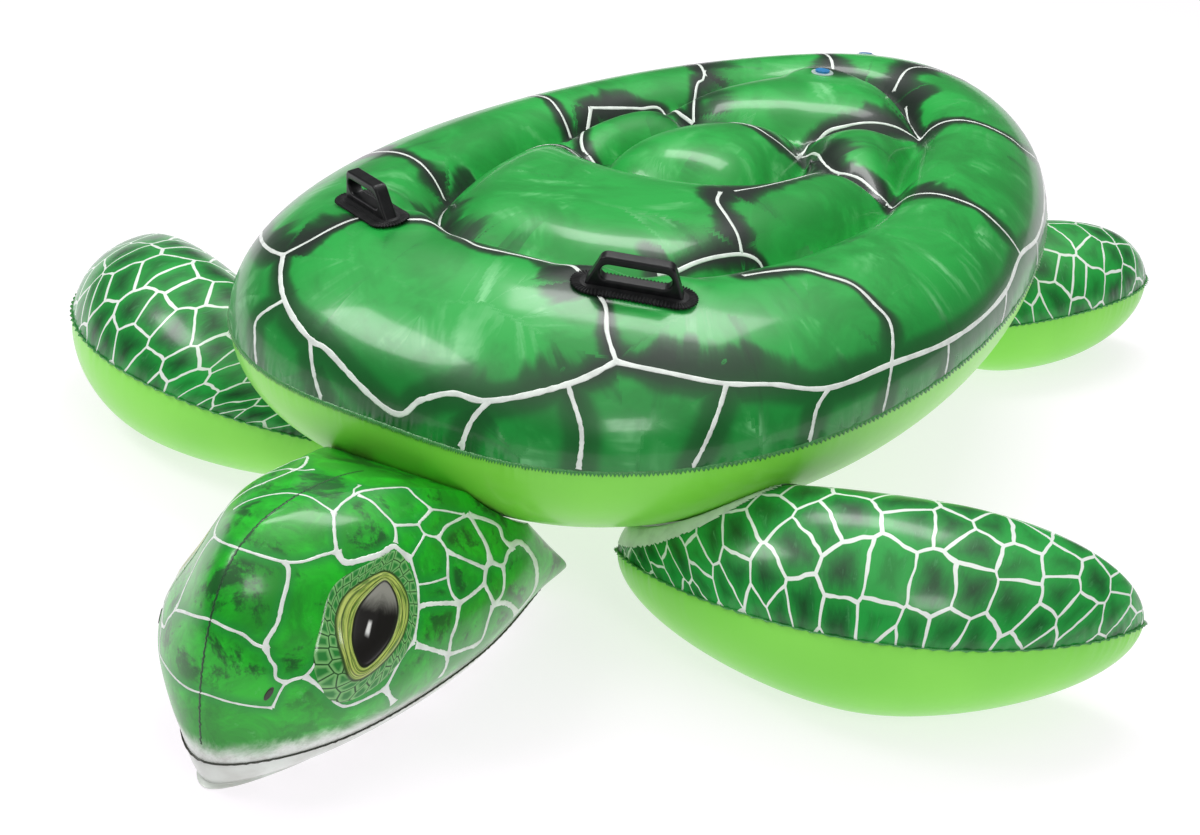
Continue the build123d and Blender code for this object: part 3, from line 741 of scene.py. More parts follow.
RUN_SHIFT, KIND_SHIFT = 1.7, 3.1    # what sets one line's shading apart from the next one's
shell_ribbons = Ribbons(top_tree, 3)
line_samples, line_facts, line_ends = [], [], []
paths = [(width, *rim_path(points)) for width, points in RIM_LINES]
paths += [(width, *crown_path(points)) for width, points in CROWN_LINES]
for number, (width, spots, normals) in enumerate(paths):
    shell_ribbons.lay(spots, normals, width / 1000 * SHELL_LINE_SHARE, 0.5)
    laid = [on_skin(top_tree, spot, normal)[0] for spot, normal in zip(spots, normals)]
    length = 0.0
    for before, spot in zip(laid[:1] + laid, laid):
        length += (spot - before).length
        line_samples.append(tuple(spot))
        line_facts.append((length + RUN_SHIFT * number, KIND_SHIFT * number))
    line_ends += [tuple(laid[0]), tuple(laid[-1])]
shell_lines = make_mesh("shell_lines", shell_ribbons.points, shell_ribbons.quads)
finish_piece(shell_lines, "shell", MATERIALS["line_white"])

# what the print reads: (run along the nearest line, distance to it, which line), (line's end, seam, -)
shell_top = make_mesh("shell_top_skin", *top_skin)
edge, index = nearest(line_samples, top_skin[0])
run, kind = np.array(line_facts)[index].T
line_end, _ = nearest(line_ends, top_skin[0])
keep_vector(shell_top, "line", np.column_stack([run, edge, kind]))
keep_vector(shell_top, "near", np.column_stack([line_end, np.append(top_arc.ravel(), 1.0), 0 * edge]))
finish_piece(shell_top, "shell", MATERIALS["shell_print"], ["shell_top_sheet"])
shell_bottom = make_mesh("shell_bottom_skin", *bottom_skin)
finish_piece(shell_bottom, "shell", MATERIALS["lime_vinyl"], ["shell_bottom_sheet"])

# ---- welded seams ------------------------------------------------------------------------------------
TOOTH_STEPS, TOOTH_DEPTH = 4, 0.55      # points of a loop for one tooth of the cut edge, and its depth
STRIP_TUCK, STRIP_THINNING, STRIP_WAVE = 0.0012, 0.7, 0.0007
SEAM_STEPS = 2400   # points of the shell's seam
SEAM_HANG = 0.87    # how far down the shell's seam hangs, for 0.5 outwards


def weld_strip(name, loop, outward, upward, body, material, width=0.0026, thick=0.0009, seed=5, cut=1):
    """The welded rim between two sheets: a thin strip around a closed loop of points, toothed if cut."""
    count = len(loop)
    turns = np.linspace(0, 2 * pi, count, endpoint=False)
    tooth = 1 - 2 * np.abs((np.arange(count) / TOOTH_STEPS) % 1 - 0.5)
    reach = width * (1 + cut * TOOTH_DEPTH * (2 * tooth - 1) + 0.25 * waves(turns, (97, 139, 201), seed))
    wave = STRIP_WAVE * waves(turns, (113, 171, 229), seed + 1)
    rows = []
    for outer, rise in ((False, 1), (False, -1), (True, -STRIP_THINNING), (True, STRIP_THINNING)):
        spread = reach if outer else np.full(count, -STRIP_TUCK)
        lift = rise * thick / 2 + wave * outer
        rows.append(loop + outward * spread[:, None] + upward * lift[:, None])
    place = np.arange(count)
    after = (place + 1) % count
    closing = np.stack([3 * count + place, 3 * count + after, after, place], -1)
    piece = make_mesh(name, np.array(rows).reshape(-1, 3), np.vstack([grid_faces(4, count), closing]))
    return finish_piece(piece, body, material)


seam_turns = np.linspace(0, 2 * pi, SEAM_STEPS, endpoint=False)
seam_loop = shell_point(seam_turns, np.zeros(SEAM_STEPS))
seam_out = outward_of(seam_loop, UP)
weld_strip("shell_seam", seam_loop, 0.5 * seam_out - np.array((0, 0, SEAM_HANG)), seam_out, "shell",
           MATERIALS["seam_green"], 0.0030)

# ---- flippers ----------------------------------------------------------------------------------------
LENS_POWER, LENS_SKEW = 0.66, 0.09
# inner tip, outer tip, roll, width, bow, rise, drop of the turtle's left flippers
FLIPPERS = {
    "front": ((0.189, -0.323, 0.090), (0.697, -0.131, 0.102), -11.8, 0.224, -0.059, 0.112, 0.110),
    "rear": ((0.212, 0.432, 0.088), (0.362, 0.752, 0.104), -7.0, 0.194, 0.024, 0.098, 0.098),
}
BELLY_GAP, FLOOR_GAP = 0.0032, 0.0004
PUCKER_SIZE, PUCKER_REACH = 0.0013, 0.013
LENS_LOOP, LENS_SEAM_ROWS, LENS_ROWS = 420, 12, 56
LENS_SEAM_ANGLE, LENS_LAST_ANGLE = 0.16, pi / 2 * 0.995
PATCH_GAP, PATCH_LIFT = 0.027, 0.0008   # a patch reaches this far below the belly, and stands this proud
# size of the printed scales along and across, where their pattern starts, and how they crowd inwards
SCALE_SIZE = {"front": (0.031, 0.043), "rear": (0.029, 0.036)}
SCALE_START, SCALE_START_RIGHT = {"front": 3.7, "rear": 11.3}, 5.9
SCALE_WIDEN, SCALE_CROWD = 1.25, 0.35
FLIPPER_SEED = {"front": 21, "rear": 31}


def push_below_belly(points):
    """Presses points in where they would pass the belly; also returns how far below it they are."""
    gap = np.ones(points.shape[:2])
    for place in np.ndindex(points.shape[:2]):
        x, y, z = points[place]
        hit = bottom_tree.ray_cast(Vector((x, y, -1.0)), Vector(UP))[0]
        if hit is not None:
            gap[place] = hit.z - z
            points[place][2] = min(z, hit.z - BELLY_GAP)
    return points, gap


def lens_axes(root, tip, roll):
    """Middle of a flipper, and its directions along, across and square to its seam."""
    root, tip = Vector(root), Vector(tip)
    span = (tip - root).normalized()
    across = Vector(UP).cross(span).normalized()
    up = span.cross(across)
    lean = radians(roll)
    facing = up * cos(lean) - across * sin(lean)
    return [np.array(part) for part in ((root + tip) / 2, span, facing.cross(span), facing)]


def lens_outline(length, width, bow):
    """Seam of a flipper in its own plane: closed loop of (along, across)."""
    half_count = LENS_LOOP // 2
    share = 0.5 - 0.5 * np.cos(np.linspace(0, pi, half_count + 1))
    full = (4 * share * (1 - share)) ** LENS_POWER * (1 + LENS_SKEW * (2 * share - 1))
    along = (share - 0.5) * length
    middle = bow * (4 * share * (1 - share) - 1)
    upper = np.stack([along, middle + width / 2 * full], -1)
    lower = np.stack([along, middle - width / 2 * full], -1)
    return np.vstack([lower[:-1], upper[:0:-1]])


def flipper_skin(row, side, root, tip, roll, width, bow, height):
    """One panel of a flipper: points, faces, flat print places, the seam, and gaps to the belly."""
    origin, span, across, facing = lens_axes(root, tip, roll)
    outline = lens_outline(np.linalg.norm(np.subtract(tip, root)), width, bow)
    angle = np.concatenate([np.linspace(0, LENS_SEAM_ANGLE, LENS_SEAM_ROWS, endpoint=False),
                            np.linspace(LENS_SEAM_ANGLE, LENS_LAST_ANGLE, LENS_ROWS)])[:, None]
    along = outline[:, 0] * np.cos(angle)
    over = outline[:, 1] * np.cos(angle) + bow
    lift = np.broadcast_to(height * np.sin(angle), along.shape)
    points = origin + along[..., None] * span + over[..., None] * across + lift[..., None] * facing
    arc = run_along(points)
    turns = np.linspace(0, 2 * pi, LENS_LOOP, endpoint=False)
    seed = FLIPPER_SEED[row] + (height > 0)
    ripple = waves(turns, (60, 83, 107, 139), seed) + 0.5 * waves(turns, (23, 37), seed + 5)
    pucker = PUCKER_SIZE * ripple[None, :] * np.exp(-arc / PUCKER_REACH) * ease(arc, 0.0, 0.002)
    points = points + grid_normals(points) * pucker[..., None]
    share = 1 - angle / (pi / 2)
    flat = np.stack([outline[:, 0] * share, outline[:, 1] * share * SCALE_WIDEN], -1)
    gap = np.ones(points.shape[:2])
    if height > 0:
        points, gap = push_below_belly(points)
    else:
        points[..., 2] = np.maximum(points[..., 2], FLOOR_GAP)
    vertices, quads, fan = join_middle(points)
    if side * height < 0:
        quads, fan = turned_over(quads, fan)
    flat = np.vstack([flat.reshape(-1, 2), flat[-1].mean(0)])
    mirror = (side, 1, 1)
    return vertices * mirror, quads, fan, flat, points[0] * mirror, np.append(gap.ravel(), 1.0)


def flipper(row, side_name, side):
    """Both panels, the seam and the weld patch of one flipper."""
    root, tip, roll, width, bow, rise, drop = FLIPPERS[row]
    body = f"{row}_{side_name}_flipper"
    vertices, quads, fan, flat, loop, gap = flipper_skin(row, side, root, tip, roll, width, bow, rise)
    top = make_mesh(f"{body}_top_skin", vertices, quads, fan)
    used, renumbered = np.unique(quads[(gap[quads] < PATCH_GAP).all(1)], return_inverse=True)
    lifted = [vertices[i] + PATCH_LIFT * np.array(top.data.vertices[i].normal) for i in used.tolist()]
    patch = make_mesh(f"{body}_weld_patch", lifted, renumbered.reshape(-1, 4))
    finish_piece(patch, body, MATERIALS["patch_white"], [f"{body}_patch"])
    start = SCALE_START[row] + (SCALE_START_RIGHT if side < 0 else 0)
    crowd = 1 + SCALE_CROWD * ease(-flat[:, 0] / np.abs(flat[:, 0]).max(), 0.2, 0.9)
    scale_long, scale_wide = SCALE_SIZE[row]
    keep_vector(top, "flat", np.column_stack([flat[:, 0] / scale_long * crowd + start,
                                              flat[:, 1] / scale_wide, np.full(len(flat), start)]))
    finish_piece(top, body, MATERIALS["flipper_print"], [f"{body}_top"])
    bottom_panel = flipper_skin(row, side, root, tip, roll, width, bow, -drop)[:3]
    bottom = make_mesh(f"{body}_bottom_skin", *bottom_panel)
    finish_piece(bottom, body, MATERIALS["lime_vinyl"], [f"{body}_bottom"])
    facing = lens_axes(root, tip, roll)[3] * (side, 1, 1)
    weld_strip(f"{body}_seam", loop, outward_of(loop, facing) * side, facing, body,
               MATERIALS["seam_green"], 0.0028, seed=41)


for row in FLIPPERS:
    for side_name, side in SIDES.items():
        flipper(row, side_name, side)

# ---- head --------------------------------------------------------------------------------------------
NECK_Y, HEAD_YAW, HEAD_SEAM_Z = -0.331, radians(5.4), 0.034
# level above the floor, nose, rear edge, half width, cheek fullness
HEAD_LEVELS = [
    (0.034, 0.484, 0.000, 0.126, 0.70), (0.064, 0.487, 0.008, 0.140, 0.76),
    (0.100, 0.487, 0.026, 0.146, 0.79), (0.135, 0.482, 0.054, 0.138, 0.75),
    (0.170, 0.472, 0.104, 0.118, 0.66), (0.205, 0.455, 0.178, 0.092, 0.60),
    (0.230, 0.430, 0.246, 0.060, 0.56), (0.243, 0.396, 0.310, 0.026, 0.54),
    (0.246, 0.372, 0.344, 0.004, 0.54),
]
CHIN_LEVELS = [
    (0.034, 0.484, 0.000, 0.126, 0.70), (0.018, 0.482, 0.020, 0.116, 0.66),
    (0.006, 0.476, 0.056, 0.098, 0.62), (0.0005, 0.462, 0.096, 0.078, 0.58),
    (0.0002, 0.250, 0.200, 0.004, 0.58),
]
WIDEST_SHARE, CHEEK_SHARE = 0.40, 0.80
REAR_CORNER = (0.62, 0.38)      # half width of the rear edge: a share of the widest, and one of the cheeks
CORNER_SPOT, CORNER_PINCH, CORNER_REACH = (0.105, 0.005), 0.72, 0.062
HEAD_LOOP, HEAD_STEPS, CHIN_STEPS = 360, 16, 12     # points round a level, and rows between two levels


def head_loop(nose, rear, half, full):
    """Closed bullet-shaped loop of one level: (across, forward)."""
    run = nose - rear
    corner = REAR_CORNER[0] + REAR_CORNER[1] * full
    side = [(corner * half, rear), (half, rear + WIDEST_SHARE * run), (full * half, rear + CHEEK_SHARE * run)]
    front = smooth_line([*side, (0, nose), *[(-x, y) for x, y in reversed(side)]], steps=24)
    back = np.linspace(front[-1], front[0], 40)[1:-1]
    return resample_loop(np.vstack([front, back]), HEAD_LOOP)


def resample_loop(points, count):
    """The same closed line with evenly spaced points, from its first point."""
    closed = np.vstack([points, points[:1]])
    length = run_along(closed)
    wanted = np.linspace(0, length[-1], count, endpoint=False)
    return np.stack([np.interp(wanted, length, column) for column in closed.T], -1)


def head_skin(levels, rows):
    """Grid of the head from the seam to the far end of the levels."""
    loops = [np.column_stack([head_loop(nose, rear, max(half, 0.002), full), np.full(HEAD_LOOP, level)])
             for level, nose, rear, half, full in smooth_line(levels, steps=rows)]
    return head_turned(np.array(loops)) + (0, NECK_Y, 0)


def head_turned(places):
    """Places or directions given as (across, forward, up) in the head's own turned frame."""
    across, forward, up = np.moveaxis(places, -1, 0)
    return np.stack([across * cos(HEAD_YAW) + forward * sin(HEAD_YAW),
                     across * sin(HEAD_YAW) - forward * cos(HEAD_YAW), up], -1)


def head_local(points):
    """Across and forward of points in the head's own turned frame."""
    x, y = points[..., 0], points[..., 1] - NECK_Y
    return x * cos(HEAD_YAW) + y * sin(HEAD_YAW), x * sin(HEAD_YAW) - y * cos(HEAD_YAW)


def pinch_corners(points):
    """The head's rear corners run out flat, like those of a pillow."""
    across, forward = head_local(points)
    gap = np.hypot(np.abs(across) - CORNER_SPOT[0], forward - CORNER_SPOT[1])
    points[..., 2] -= (points[..., 2] - HEAD_SEAM_Z) * CORNER_PINCH * np.exp(-(gap / CORNER_REACH) ** 2)
    return points


head_grid, _ = push_below_belly(pinch_corners(head_skin(HEAD_LEVELS, HEAD_STEPS)))
head_points, head_quads, head_fan = join_middle(head_grid)
head_tree = skin_tree(head_points, head_quads, head_fan)
chin_points, chin_quads, chin_fan = join_middle(head_skin(CHIN_LEVELS, CHIN_STEPS))
chin = make_mesh("head_chin_skin", chin_points, *turned_over(chin_quads, chin_fan))
finish_piece(chin, "head", MATERIALS["chin_vinyl"], ["head_chin_panel"])

# directions from inside the head, as (azimuth, elevation) in degrees: 0 is the nose, 90 its left side
HEAD_HEART = (0.0, 0.270, 0.100)    # across, forward, up in the head's own frame
OUTSIDE_HEAD = 0.6                  # distance from the heart that is surely outside the skin
HEAD_MIDDLE_LINES = [
    (2.4, [(-22, 41), (-5, 41), (4, 41), (10, 41), (16, 41)]),
    (2.2, [(-30, 51), (-27, 56), (-19, 62), (-9, 67), (5, 69), (17, 68), (29, 65), (35, 63)]),
    (2.8, [(-22, 16), (-14, 19), (-6, 21), (0, 22), (5, 21), (9, 20), (12, 18), (15, 17)]),
    (2.0, [(-23, 1), (-15, 2), (-4, 2.5), (2, 3), (8, 2), (14, 1), (18, 0.5)]),
]
HEAD_SIDE_LINES = [
    (2.6, [(16, 41), (22, 42.5), (29, 45.5), (36, 47.5)]),
    (3.2, [(35, 63), (35, 54.5), (36, 47.5)]),
    (5.0, [(36, 47.5), (40, 44), (50, 45), (60, 46), (71, 47.5), (75, 44), (79, 40.5)]),
    (2.8, [(35, 63), (45, 69), (62, 73), (83, 74), (108, 70), (126, 61), (122, 55), (119, 48)]),
    (2.0, [(62, 73), (76, 77), (102, 78)]),
    (3.4, [(16, 41), (17.5, 39), (18, 35), (17.5, 30), (17, 24), (15, 19), (15, 17)]),
    (3.0, [(15, 17), (16.5, 14), (18, 12), (18.5, 9), (21, 7.5)]),
    (2.0, [(21, 7.5), (19.7, 5), (18, 0.5)]),
    (2.6, [(21, 7.5), (23, 8.3), (26, 9), (28, 11), (29.5, 14)]),
    (3.4, [(26, 9), (29.5, 6), (33, 2), (36.5, -2.4), (39.6, -3.5), (45.2, -2.9), (52, -2)]),
    (3.0, [(70, 73), (78, 68.5), (79, 61.5), (80, 55), (73.5, 48.4)]),
    (2.8, [(80, 55), (91.5, 52), (99, 49.5), (104, 49.5), (119, 47.7)]),
    (2.4, [(119, 47.7), (125, 41.5), (131, 33)]),
    (2.4, [(99, 49.4), (98, 45), (105, 39.6)]),
    (3.0, [(105, 39.6), (116, 39), (128, 34), (132.6, 31)]),
    (2.2, [(98, 45), (87.5, 43), (79, 40.5)]),
    (3.0, [(79, 40.5), (78.7, 34.5), (78, 29.5), (74.5, 22), (70, 15), (67, 10)]),
    (3.0, [(67, 10), (62.2, 8.2), (57, 4.2), (52, -2)]),
    (1.8, [(78, 29.7), (85.5, 27.6), (94.5, 25.5), (97, 25)]),
    (3.2, [(105, 39.6), (105, 36), (104, 32.6), (97, 25), (95, 18.6), (97, 13)]),
    (3.6, [(104.6, 33), (111, 25), (118, 15.6)]),
    (4.0, [(74, 21.4), (80, 20.4), (89, 17), (97, 13)]),
    (4.0, [(97, 13), (105, 12.3), (114, 12)]),
    (4.6, [(97, 13), (92, 6), (88, 1.9), (86.7, -5.1)]),
    (4.6, [(67.5, 8.5), (74.6, 3.9), (86.5, -4.5)]),
    (5.0, [(132.6, 31), (129, 26.4), (126, 21), (122, 16)]),
    (4.4, [(132.6, 31), (136, 24), (137, 19), (134, 16), (134, 12)]),
    (4.6, [(122, 16), (118, 15.6), (114, 12), (114.6, 6.6), (116, 1.5)]),
    (4.0, [(122, 15.7), (126, 11), (131, 12), (135, 11.4)]),
    (4.0, [(126, 11), (124, 7), (121, 3), (116, 1.5)]),
    (4.4, [(115.2, 2.1), (112.6, -3.1), (112.3, -11), (109, -12.2)]),
    (5.0, [(115.2, 2.1), (123, -1.8), (135.2, -12.8)]),
    (6.0, [(133.4, 12.5), (137.9, 10.4), (139.4, 4.7), (140.2, -2.5), (141.4, -9.3), (135.2, -12.8)]),
    (4.4, [(86.7, -5.1), (96, -8.2), (109, -12.2)]),
    (4.6, [(86.7, -5.1), (88.5, -12.6), (87.7, -18.2)]),
    (4.6, [(52, -2), (58.2, -14.2)]),
]
# how much further round the print sits on the right, in degrees, by azimuth
RIGHT_SHIFT = ((0, 6), (18, 6), (32, 15), (60, 16), (100, 8), (125, 0), (180, 0))


def head_ways(places):
    """Unit directions for (azimuth, elevation) places."""
    azimuth, elevation = np.radians(np.array(places, float)).T
    level = np.cos(elevation)
    return head_turned(np.stack([np.sin(azimuth) * level, np.cos(azimuth) * level, np.sin(elevation)], -1))


head_heart = head_turned(np.array(HEAD_HEART)) + (0, NECK_Y, 0)


def on_head(way):
    """Where a direction from the heart leaves the head's skin, and the skin's normal there."""
    hit, facing, _, _ = head_tree.ray_cast(Vector(head_heart + way * OUTSIDE_HEAD), -Vector(way))
    return hit, facing if facing.dot(Vector(way)) >= 0 else -facing


def head_side(points, side):
    """The same directions on that side of the head."""
    if side > 0:
        return points
    return [(-azimuth - np.interp(azimuth, *zip(*RIGHT_SHIFT)), elevation) for azimuth, elevation in points]


def head_path(points, spacing=0.0025):
    """Spots on the head's skin and directions out of it, along a smooth line of directions."""
    outward = head_ways(smooth_line(points, steps=10))
    both = even(np.hstack([[on_head(way)[0] for way in outward], outward]), spacing)
    return both[:, :3], both[:, 3:]


head_ribbons = Ribbons(head_tree, 9)
head_lines = list(HEAD_MIDDLE_LINES)
for side in SIDES.values():
    head_lines += [(width, head_side(points, side)) for width, points in HEAD_SIDE_LINES]
head_samples = []
for width, points in head_lines:
    spots, ways = head_path(points)
    head_ribbons.lay(spots, ways, width / 1000, 1.0)
    head_samples += spots.tolist()
lines_piece = make_mesh("head_lines", head_ribbons.points, head_ribbons.quads)
finish_piece(lines_piece, "head", MATERIALS["line_white"])


FADE_GAIN, FADE_FORWARD = 1.8, (0.14, 0.40)     # the print ends lower at the nose than at the neck


def head_panel(side_name, side):
    """One side panel: the half of the head's skin on that side of its middle plane."""
    quads = head_quads[head_local(head_points[head_quads].mean(1))[0] * side >= 0]
    fan = np.array(head_fan)
    fan = fan[head_local(head_points[fan].mean(1))[0] * side >= 0]
    used = np.unique(np.concatenate([quads.ravel(), fan.ravel()]))
    renumber = np.full(len(head_points), -1)
    renumber[used] = np.arange(len(used))
    points = head_points[used]
    panel = make_mesh(f"head_{side_name}_skin", points, renumber[quads], renumber[fan])
    edge, _ = nearest(head_samples, points)
    fade = (points[:, 2] - HEAD_SEAM_Z) * (1 + FADE_GAIN * (1 - ease(head_local(points)[1], *FADE_FORWARD)))
    keep_vector(panel, "line", np.column_stack([0 * edge, edge, 0 * edge]))
    keep_vector(panel, "near", np.column_stack([fade, 0 * edge, 0 * edge]))
    finish_piece(panel, "head", MATERIALS["head_print"], [f"head_{side_name}_panel"])


for side_name, side in SIDES.items():
    head_panel(side_name, side)

# closed outlines of the left eye, from the pupil out, each starting at the top and going round by the rear
EYE_MIDDLE = (51, 22)
EYE_OUTLINES = [
    [(58.5, 36), (63, 30.5), (62, 22.5), (55, 14), (45, 8.5), (41.5, 13), (41, 20), (45.5, 29)],
    [(59, 39.5), (68, 34), (69, 24), (60, 12.5), (42, 5), (37, 13.5), (35, 25.5), (41.5, 34.5)],
    [(69, 46), (76.5, 37), (74, 22), (60.5, 6.5), (37.5, -1.5), (29, 9), (29.5, 21.5), (37, 38)],
]
EYE_TURNS = 160
EYE_ROWS = (16, 12, 14)     # rows of points up to each outline
EYE_LIFT, EYE_BASE = 0.0007, 0.0001
PUPIL_DOME, LID_DOME = 0.0016, 0.0012


def print_rings(name, rings, lifts, side, material, upright=True):
    """A thin piece on the head's skin: rings of places round a middle, each lifted off the skin.

    The lift is upright to the skin, or else straight away from the heart.
    """
    count = len(rings[0])
    points = []
    for ring, lift in zip(rings, lifts):
        for way in head_ways(head_side(ring, side)):
            hit, facing = on_head(way)
            points.append(hit + (facing if upright else Vector(way)) * lift)
    middle = sum(points[:count], Vector()) / count
    fan = [(i, len(points), (i + 1) % count) for i in range(count)]
    faces = grid_faces(len(rings), count), fan
    if side > 0:
        faces = turned_over(*faces)
    piece = make_mesh(name, [tuple(point) for point in points + [middle]], *faces)
    return finish_piece(piece, "head", material)


def eye_piece(side_name, side):
    """Eye print on one side of the head: a thin skin lofted through its outlines."""
    loops = [resample_loop(smooth_line(points, True, 20), EYE_TURNS) for points in EYE_OUTLINES]
    loops = [EYE_MIDDLE + 0.02 * (loops[0] - EYE_MIDDLE), *loops]
    rings, radii = [], []
    for band, (inner, outer, count) in enumerate(zip(loops, loops[1:], EYE_ROWS)):
        for share in np.linspace(0, 1, count, endpoint=(outer is loops[-1])):
            rings.append((inner * (1 - share) + outer * share).tolist())
            radii.append(band + share)
    radii = np.array(radii)
    lid = ease(radii, 0.95, 1.25) * (1 - ease(radii, 1.6, 2.0))
    dome = PUPIL_DOME * np.maximum(0.0, 1 - radii) ** 0.5 + LID_DOME * lid
    lifts = EYE_BASE + EYE_LIFT * (1 - ease(radii, 2.9, 3.0)) + dome
    piece = print_rings(f"head_{side_name}_eye", rings, lifts, side, MATERIALS["eye_print"])
    turn = np.tile(np.linspace(0, 2 * pi, EYE_TURNS, endpoint=False), len(rings))
    radius, flat = np.repeat(radii, EYE_TURNS), np.zeros(len(turn))
    middle = (0.0, 0.0, 0.0)
    polar = np.column_stack([radius, turn, flat])
    spot = np.column_stack([radius * np.cos(turn), radius * np.sin(turn), flat])
    keep_vector(piece, "polar", np.vstack([polar, middle]))
    keep_vector(piece, "spot", np.vstack([spot, middle]))


NOSTRIL = (17.0, 4.6)                   # azimuth and elevation of its middle
NOSTRIL_HALF, NOSTRIL_SLANT = (0.9, 1.9), 0.8
NOSTRIL_ASIDE = 10.0                    # how much further round the right one sits
NOSTRIL_SHARES, NOSTRIL_LIFTS = (0.25, 0.6, 0.9, 1.0), (0.0008, 0.0008, 0.0008, 0.00008)
NOSTRIL_TURNS = np.linspace(0, 2 * pi, 24, endpoint=False)


def nostril(side_name, side):
    """A small dark slanted opening printed on the snout."""
    wide = NOSTRIL_HALF[0] * np.cos(NOSTRIL_TURNS) + NOSTRIL_SLANT * np.sin(NOSTRIL_TURNS)
    high = NOSTRIL_HALF[1] * np.sin(NOSTRIL_TURNS)
    azimuth = NOSTRIL[0] + (NOSTRIL_ASIDE if side < 0 else 0.0)
    rings = [np.column_stack([azimuth + share * wide, NOSTRIL[1] + share * high]).tolist()
             for share in NOSTRIL_SHARES]
    print_rings(f"head_{side_name}_nostril", rings, NOSTRIL_LIFTS, side, MATERIALS["seam_black"],
                upright=False)


for make_print in (eye_piece, nostril):
    for side_name, side in SIDES.items():
        make_print(side_name, side)

head_seam_loop = head_skin(HEAD_LEVELS[:2], 3)[0]
weld_strip("head_chin_seam", head_seam_loop, -outward_of(head_seam_loop, UP), np.array(UP), "head",
           MATERIALS["seam_black"], 0.0018, 0.0014, 51, 0)


DORSAL_ELEVATIONS = (-12, 0, 15, 30, 45, 60, 75, 90, 103, 115)
DORSAL_WIDTH, DORSAL_WAVE, DORSAL_SEED = 0.0022, 0.0011, 17


def dorsal_seam():
    """The dark, wavy weld over the top of the head, where its side panels meet."""
    spots, ways = head_path([(0, elevation) for elevation in DORSAL_ELEVATIONS], 0.0012)
    aside = np.cross(ways, np.gradient(spots, axis=0))
    aside /= np.linalg.norm(aside, axis=1, keepdims=True)
    wave = DORSAL_WAVE * waves(np.linspace(0, 2 * pi, len(spots)), (41, 67, 95), DORSAL_SEED)
    ribbons = Ribbons(head_tree, DORSAL_SEED)
    ribbons.lay(spots + aside * wave[:, None], ways, DORSAL_WIDTH)
    strip = make_mesh("head_dorsal_seam", ribbons.points, ribbons.quads)
    return finish_piece(strip, "head", MATERIALS["seam_dark"])


dorsal_seam()

# ---- handle patches: oval pads with a ribbed, serrated border ----------------------------------------
PAD_LENGTH, PAD_WIDTH, PAD_THICK = 0.133, 0.046, 0.0026
PAD_RIBS, PAD_STEPS = 84, 6         # ribs round the border, and mesh steps for each
PAD_BORDER = 0.0105
# inset from the pad's edge, in borders, and height, in thicknesses, from the skin up and in
PAD_PROFILE = [(0.0, 0.0), (0.0, 0.45), (0.10, 0.80), (0.30, 1.0), (0.85, 1.0), (1.0, 0.70), (1.12, 0.70),
               (1.25, 1.05), (1.5, 1.15)]
PAD_NOTCH, PAD_GROOVE = 0.0030, 0.72     # how far the gaps between the ribs cut in and down
NOTCHED, RIBBED = (0.0, 0.35), (0.05, 0.95)     # insets between which the gaps cut in and down


def pad_frame(node, grip):
    """Middle, long, short and upward directions of a handle, from its CAD nodes' meshes."""
    points = cad_points(node)
    middle = (points.min(0) + points.max(0)) / 2
    upward, _, along = np.linalg.eigh(np.cov((points - points.mean(0)).T))[1].T
    if np.dot(cad_points(grip).mean(0) - middle, upward) < 0:
        upward = -upward
    heights = (points - middle) @ upward
    return middle + upward * heights.min(), along, np.cross(upward, along), upward


def slot_outline(shares, inset):
    """Points of a slot shape at that inset from its edge, for shares of the way round."""
    straight, bend = PAD_LENGTH - PAD_WIDTH, PAD_WIDTH / 2
    opposite = np.where(shares < 0.5, 1, -1)
    run = (shares % 0.5) * 2 * (straight + pi * bend)
    angle = np.maximum(run - straight, 0) / bend
    along = straight / 2 - np.minimum(run, straight) - (bend - inset) * np.sin(angle)
    return np.stack([opposite * along, opposite * (bend - inset) * np.cos(angle)], -1)


def handle_pad(side_name):
    """The pad under one handle, with its ribbed border and a closed underside."""
    node = f"{side_name}_handle_patch"
    origin, along, short, upward = pad_frame(node, f"{side_name}_handle_grip")
    count = PAD_RIBS * PAD_STEPS
    shares = np.arange(count) / count
    between = 0.5 + 0.5 * np.cos(2 * pi * PAD_RIBS * shares)
    rows = []
    for inset, height in PAD_PROFILE:
        outline = slot_outline(shares, inset * PAD_BORDER)
        if NOTCHED[0] <= inset < NOTCHED[1]:
            notch = slot_outline(shares, inset * PAD_BORDER + PAD_NOTCH) - outline
            outline = outline + notch * between[:, None]
        groove = PAD_GROOVE * between if RIBBED[0] < inset < RIBBED[1] else 0 * between
        level = PAD_THICK * height * (1 - groove)
        rows.append(origin + outline[:, :1] * along + outline[:, 1:] * short + level[:, None] * upward)
    points, quads, fan = join_middle(np.array(rows))
    under = [(i, len(points), (i + 1) % count) for i in range(count)]
    points = np.vstack([points, rows[0].mean(0)])
    piece = make_mesh(f"{side_name}_handle_pad", points, quads, fan + under)
    return finish_piece(piece, "shell", MATERIALS["handle_rubber"], [node])


for side_name in SIDES:
    handle_pad(side_name)

# ---- CAD nodes that stay, with their materials -------------------------------------------------------
NODE_MATERIALS = {f"{name}_baffle": "lime_vinyl" for name in ("ring", "saddle", "seat")}
NODE_MATERIALS["head_patch"] = "patch_white"
NODE_MATERIALS |= {f"{side_name}_handle_grip": "handle_plastic" for side_name in SIDES}
for place in ("crown", "tail"):
    NODE_MATERIALS |= {f"{place}_valve_{part}": "valve_clear" for part in ("flange", "stem", "flap")}
    NODE_MATERIALS[f"{place}_valve_stopper"] = "valve_blue"
for node, material in NODE_MATERIALS.items():
    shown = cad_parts[node]
    for piece_slot in shown.material_slots:
        piece_slot.material = MATERIALS[material]
    if not shown.material_slots:
        shown.data.materials.append(MATERIALS[material])

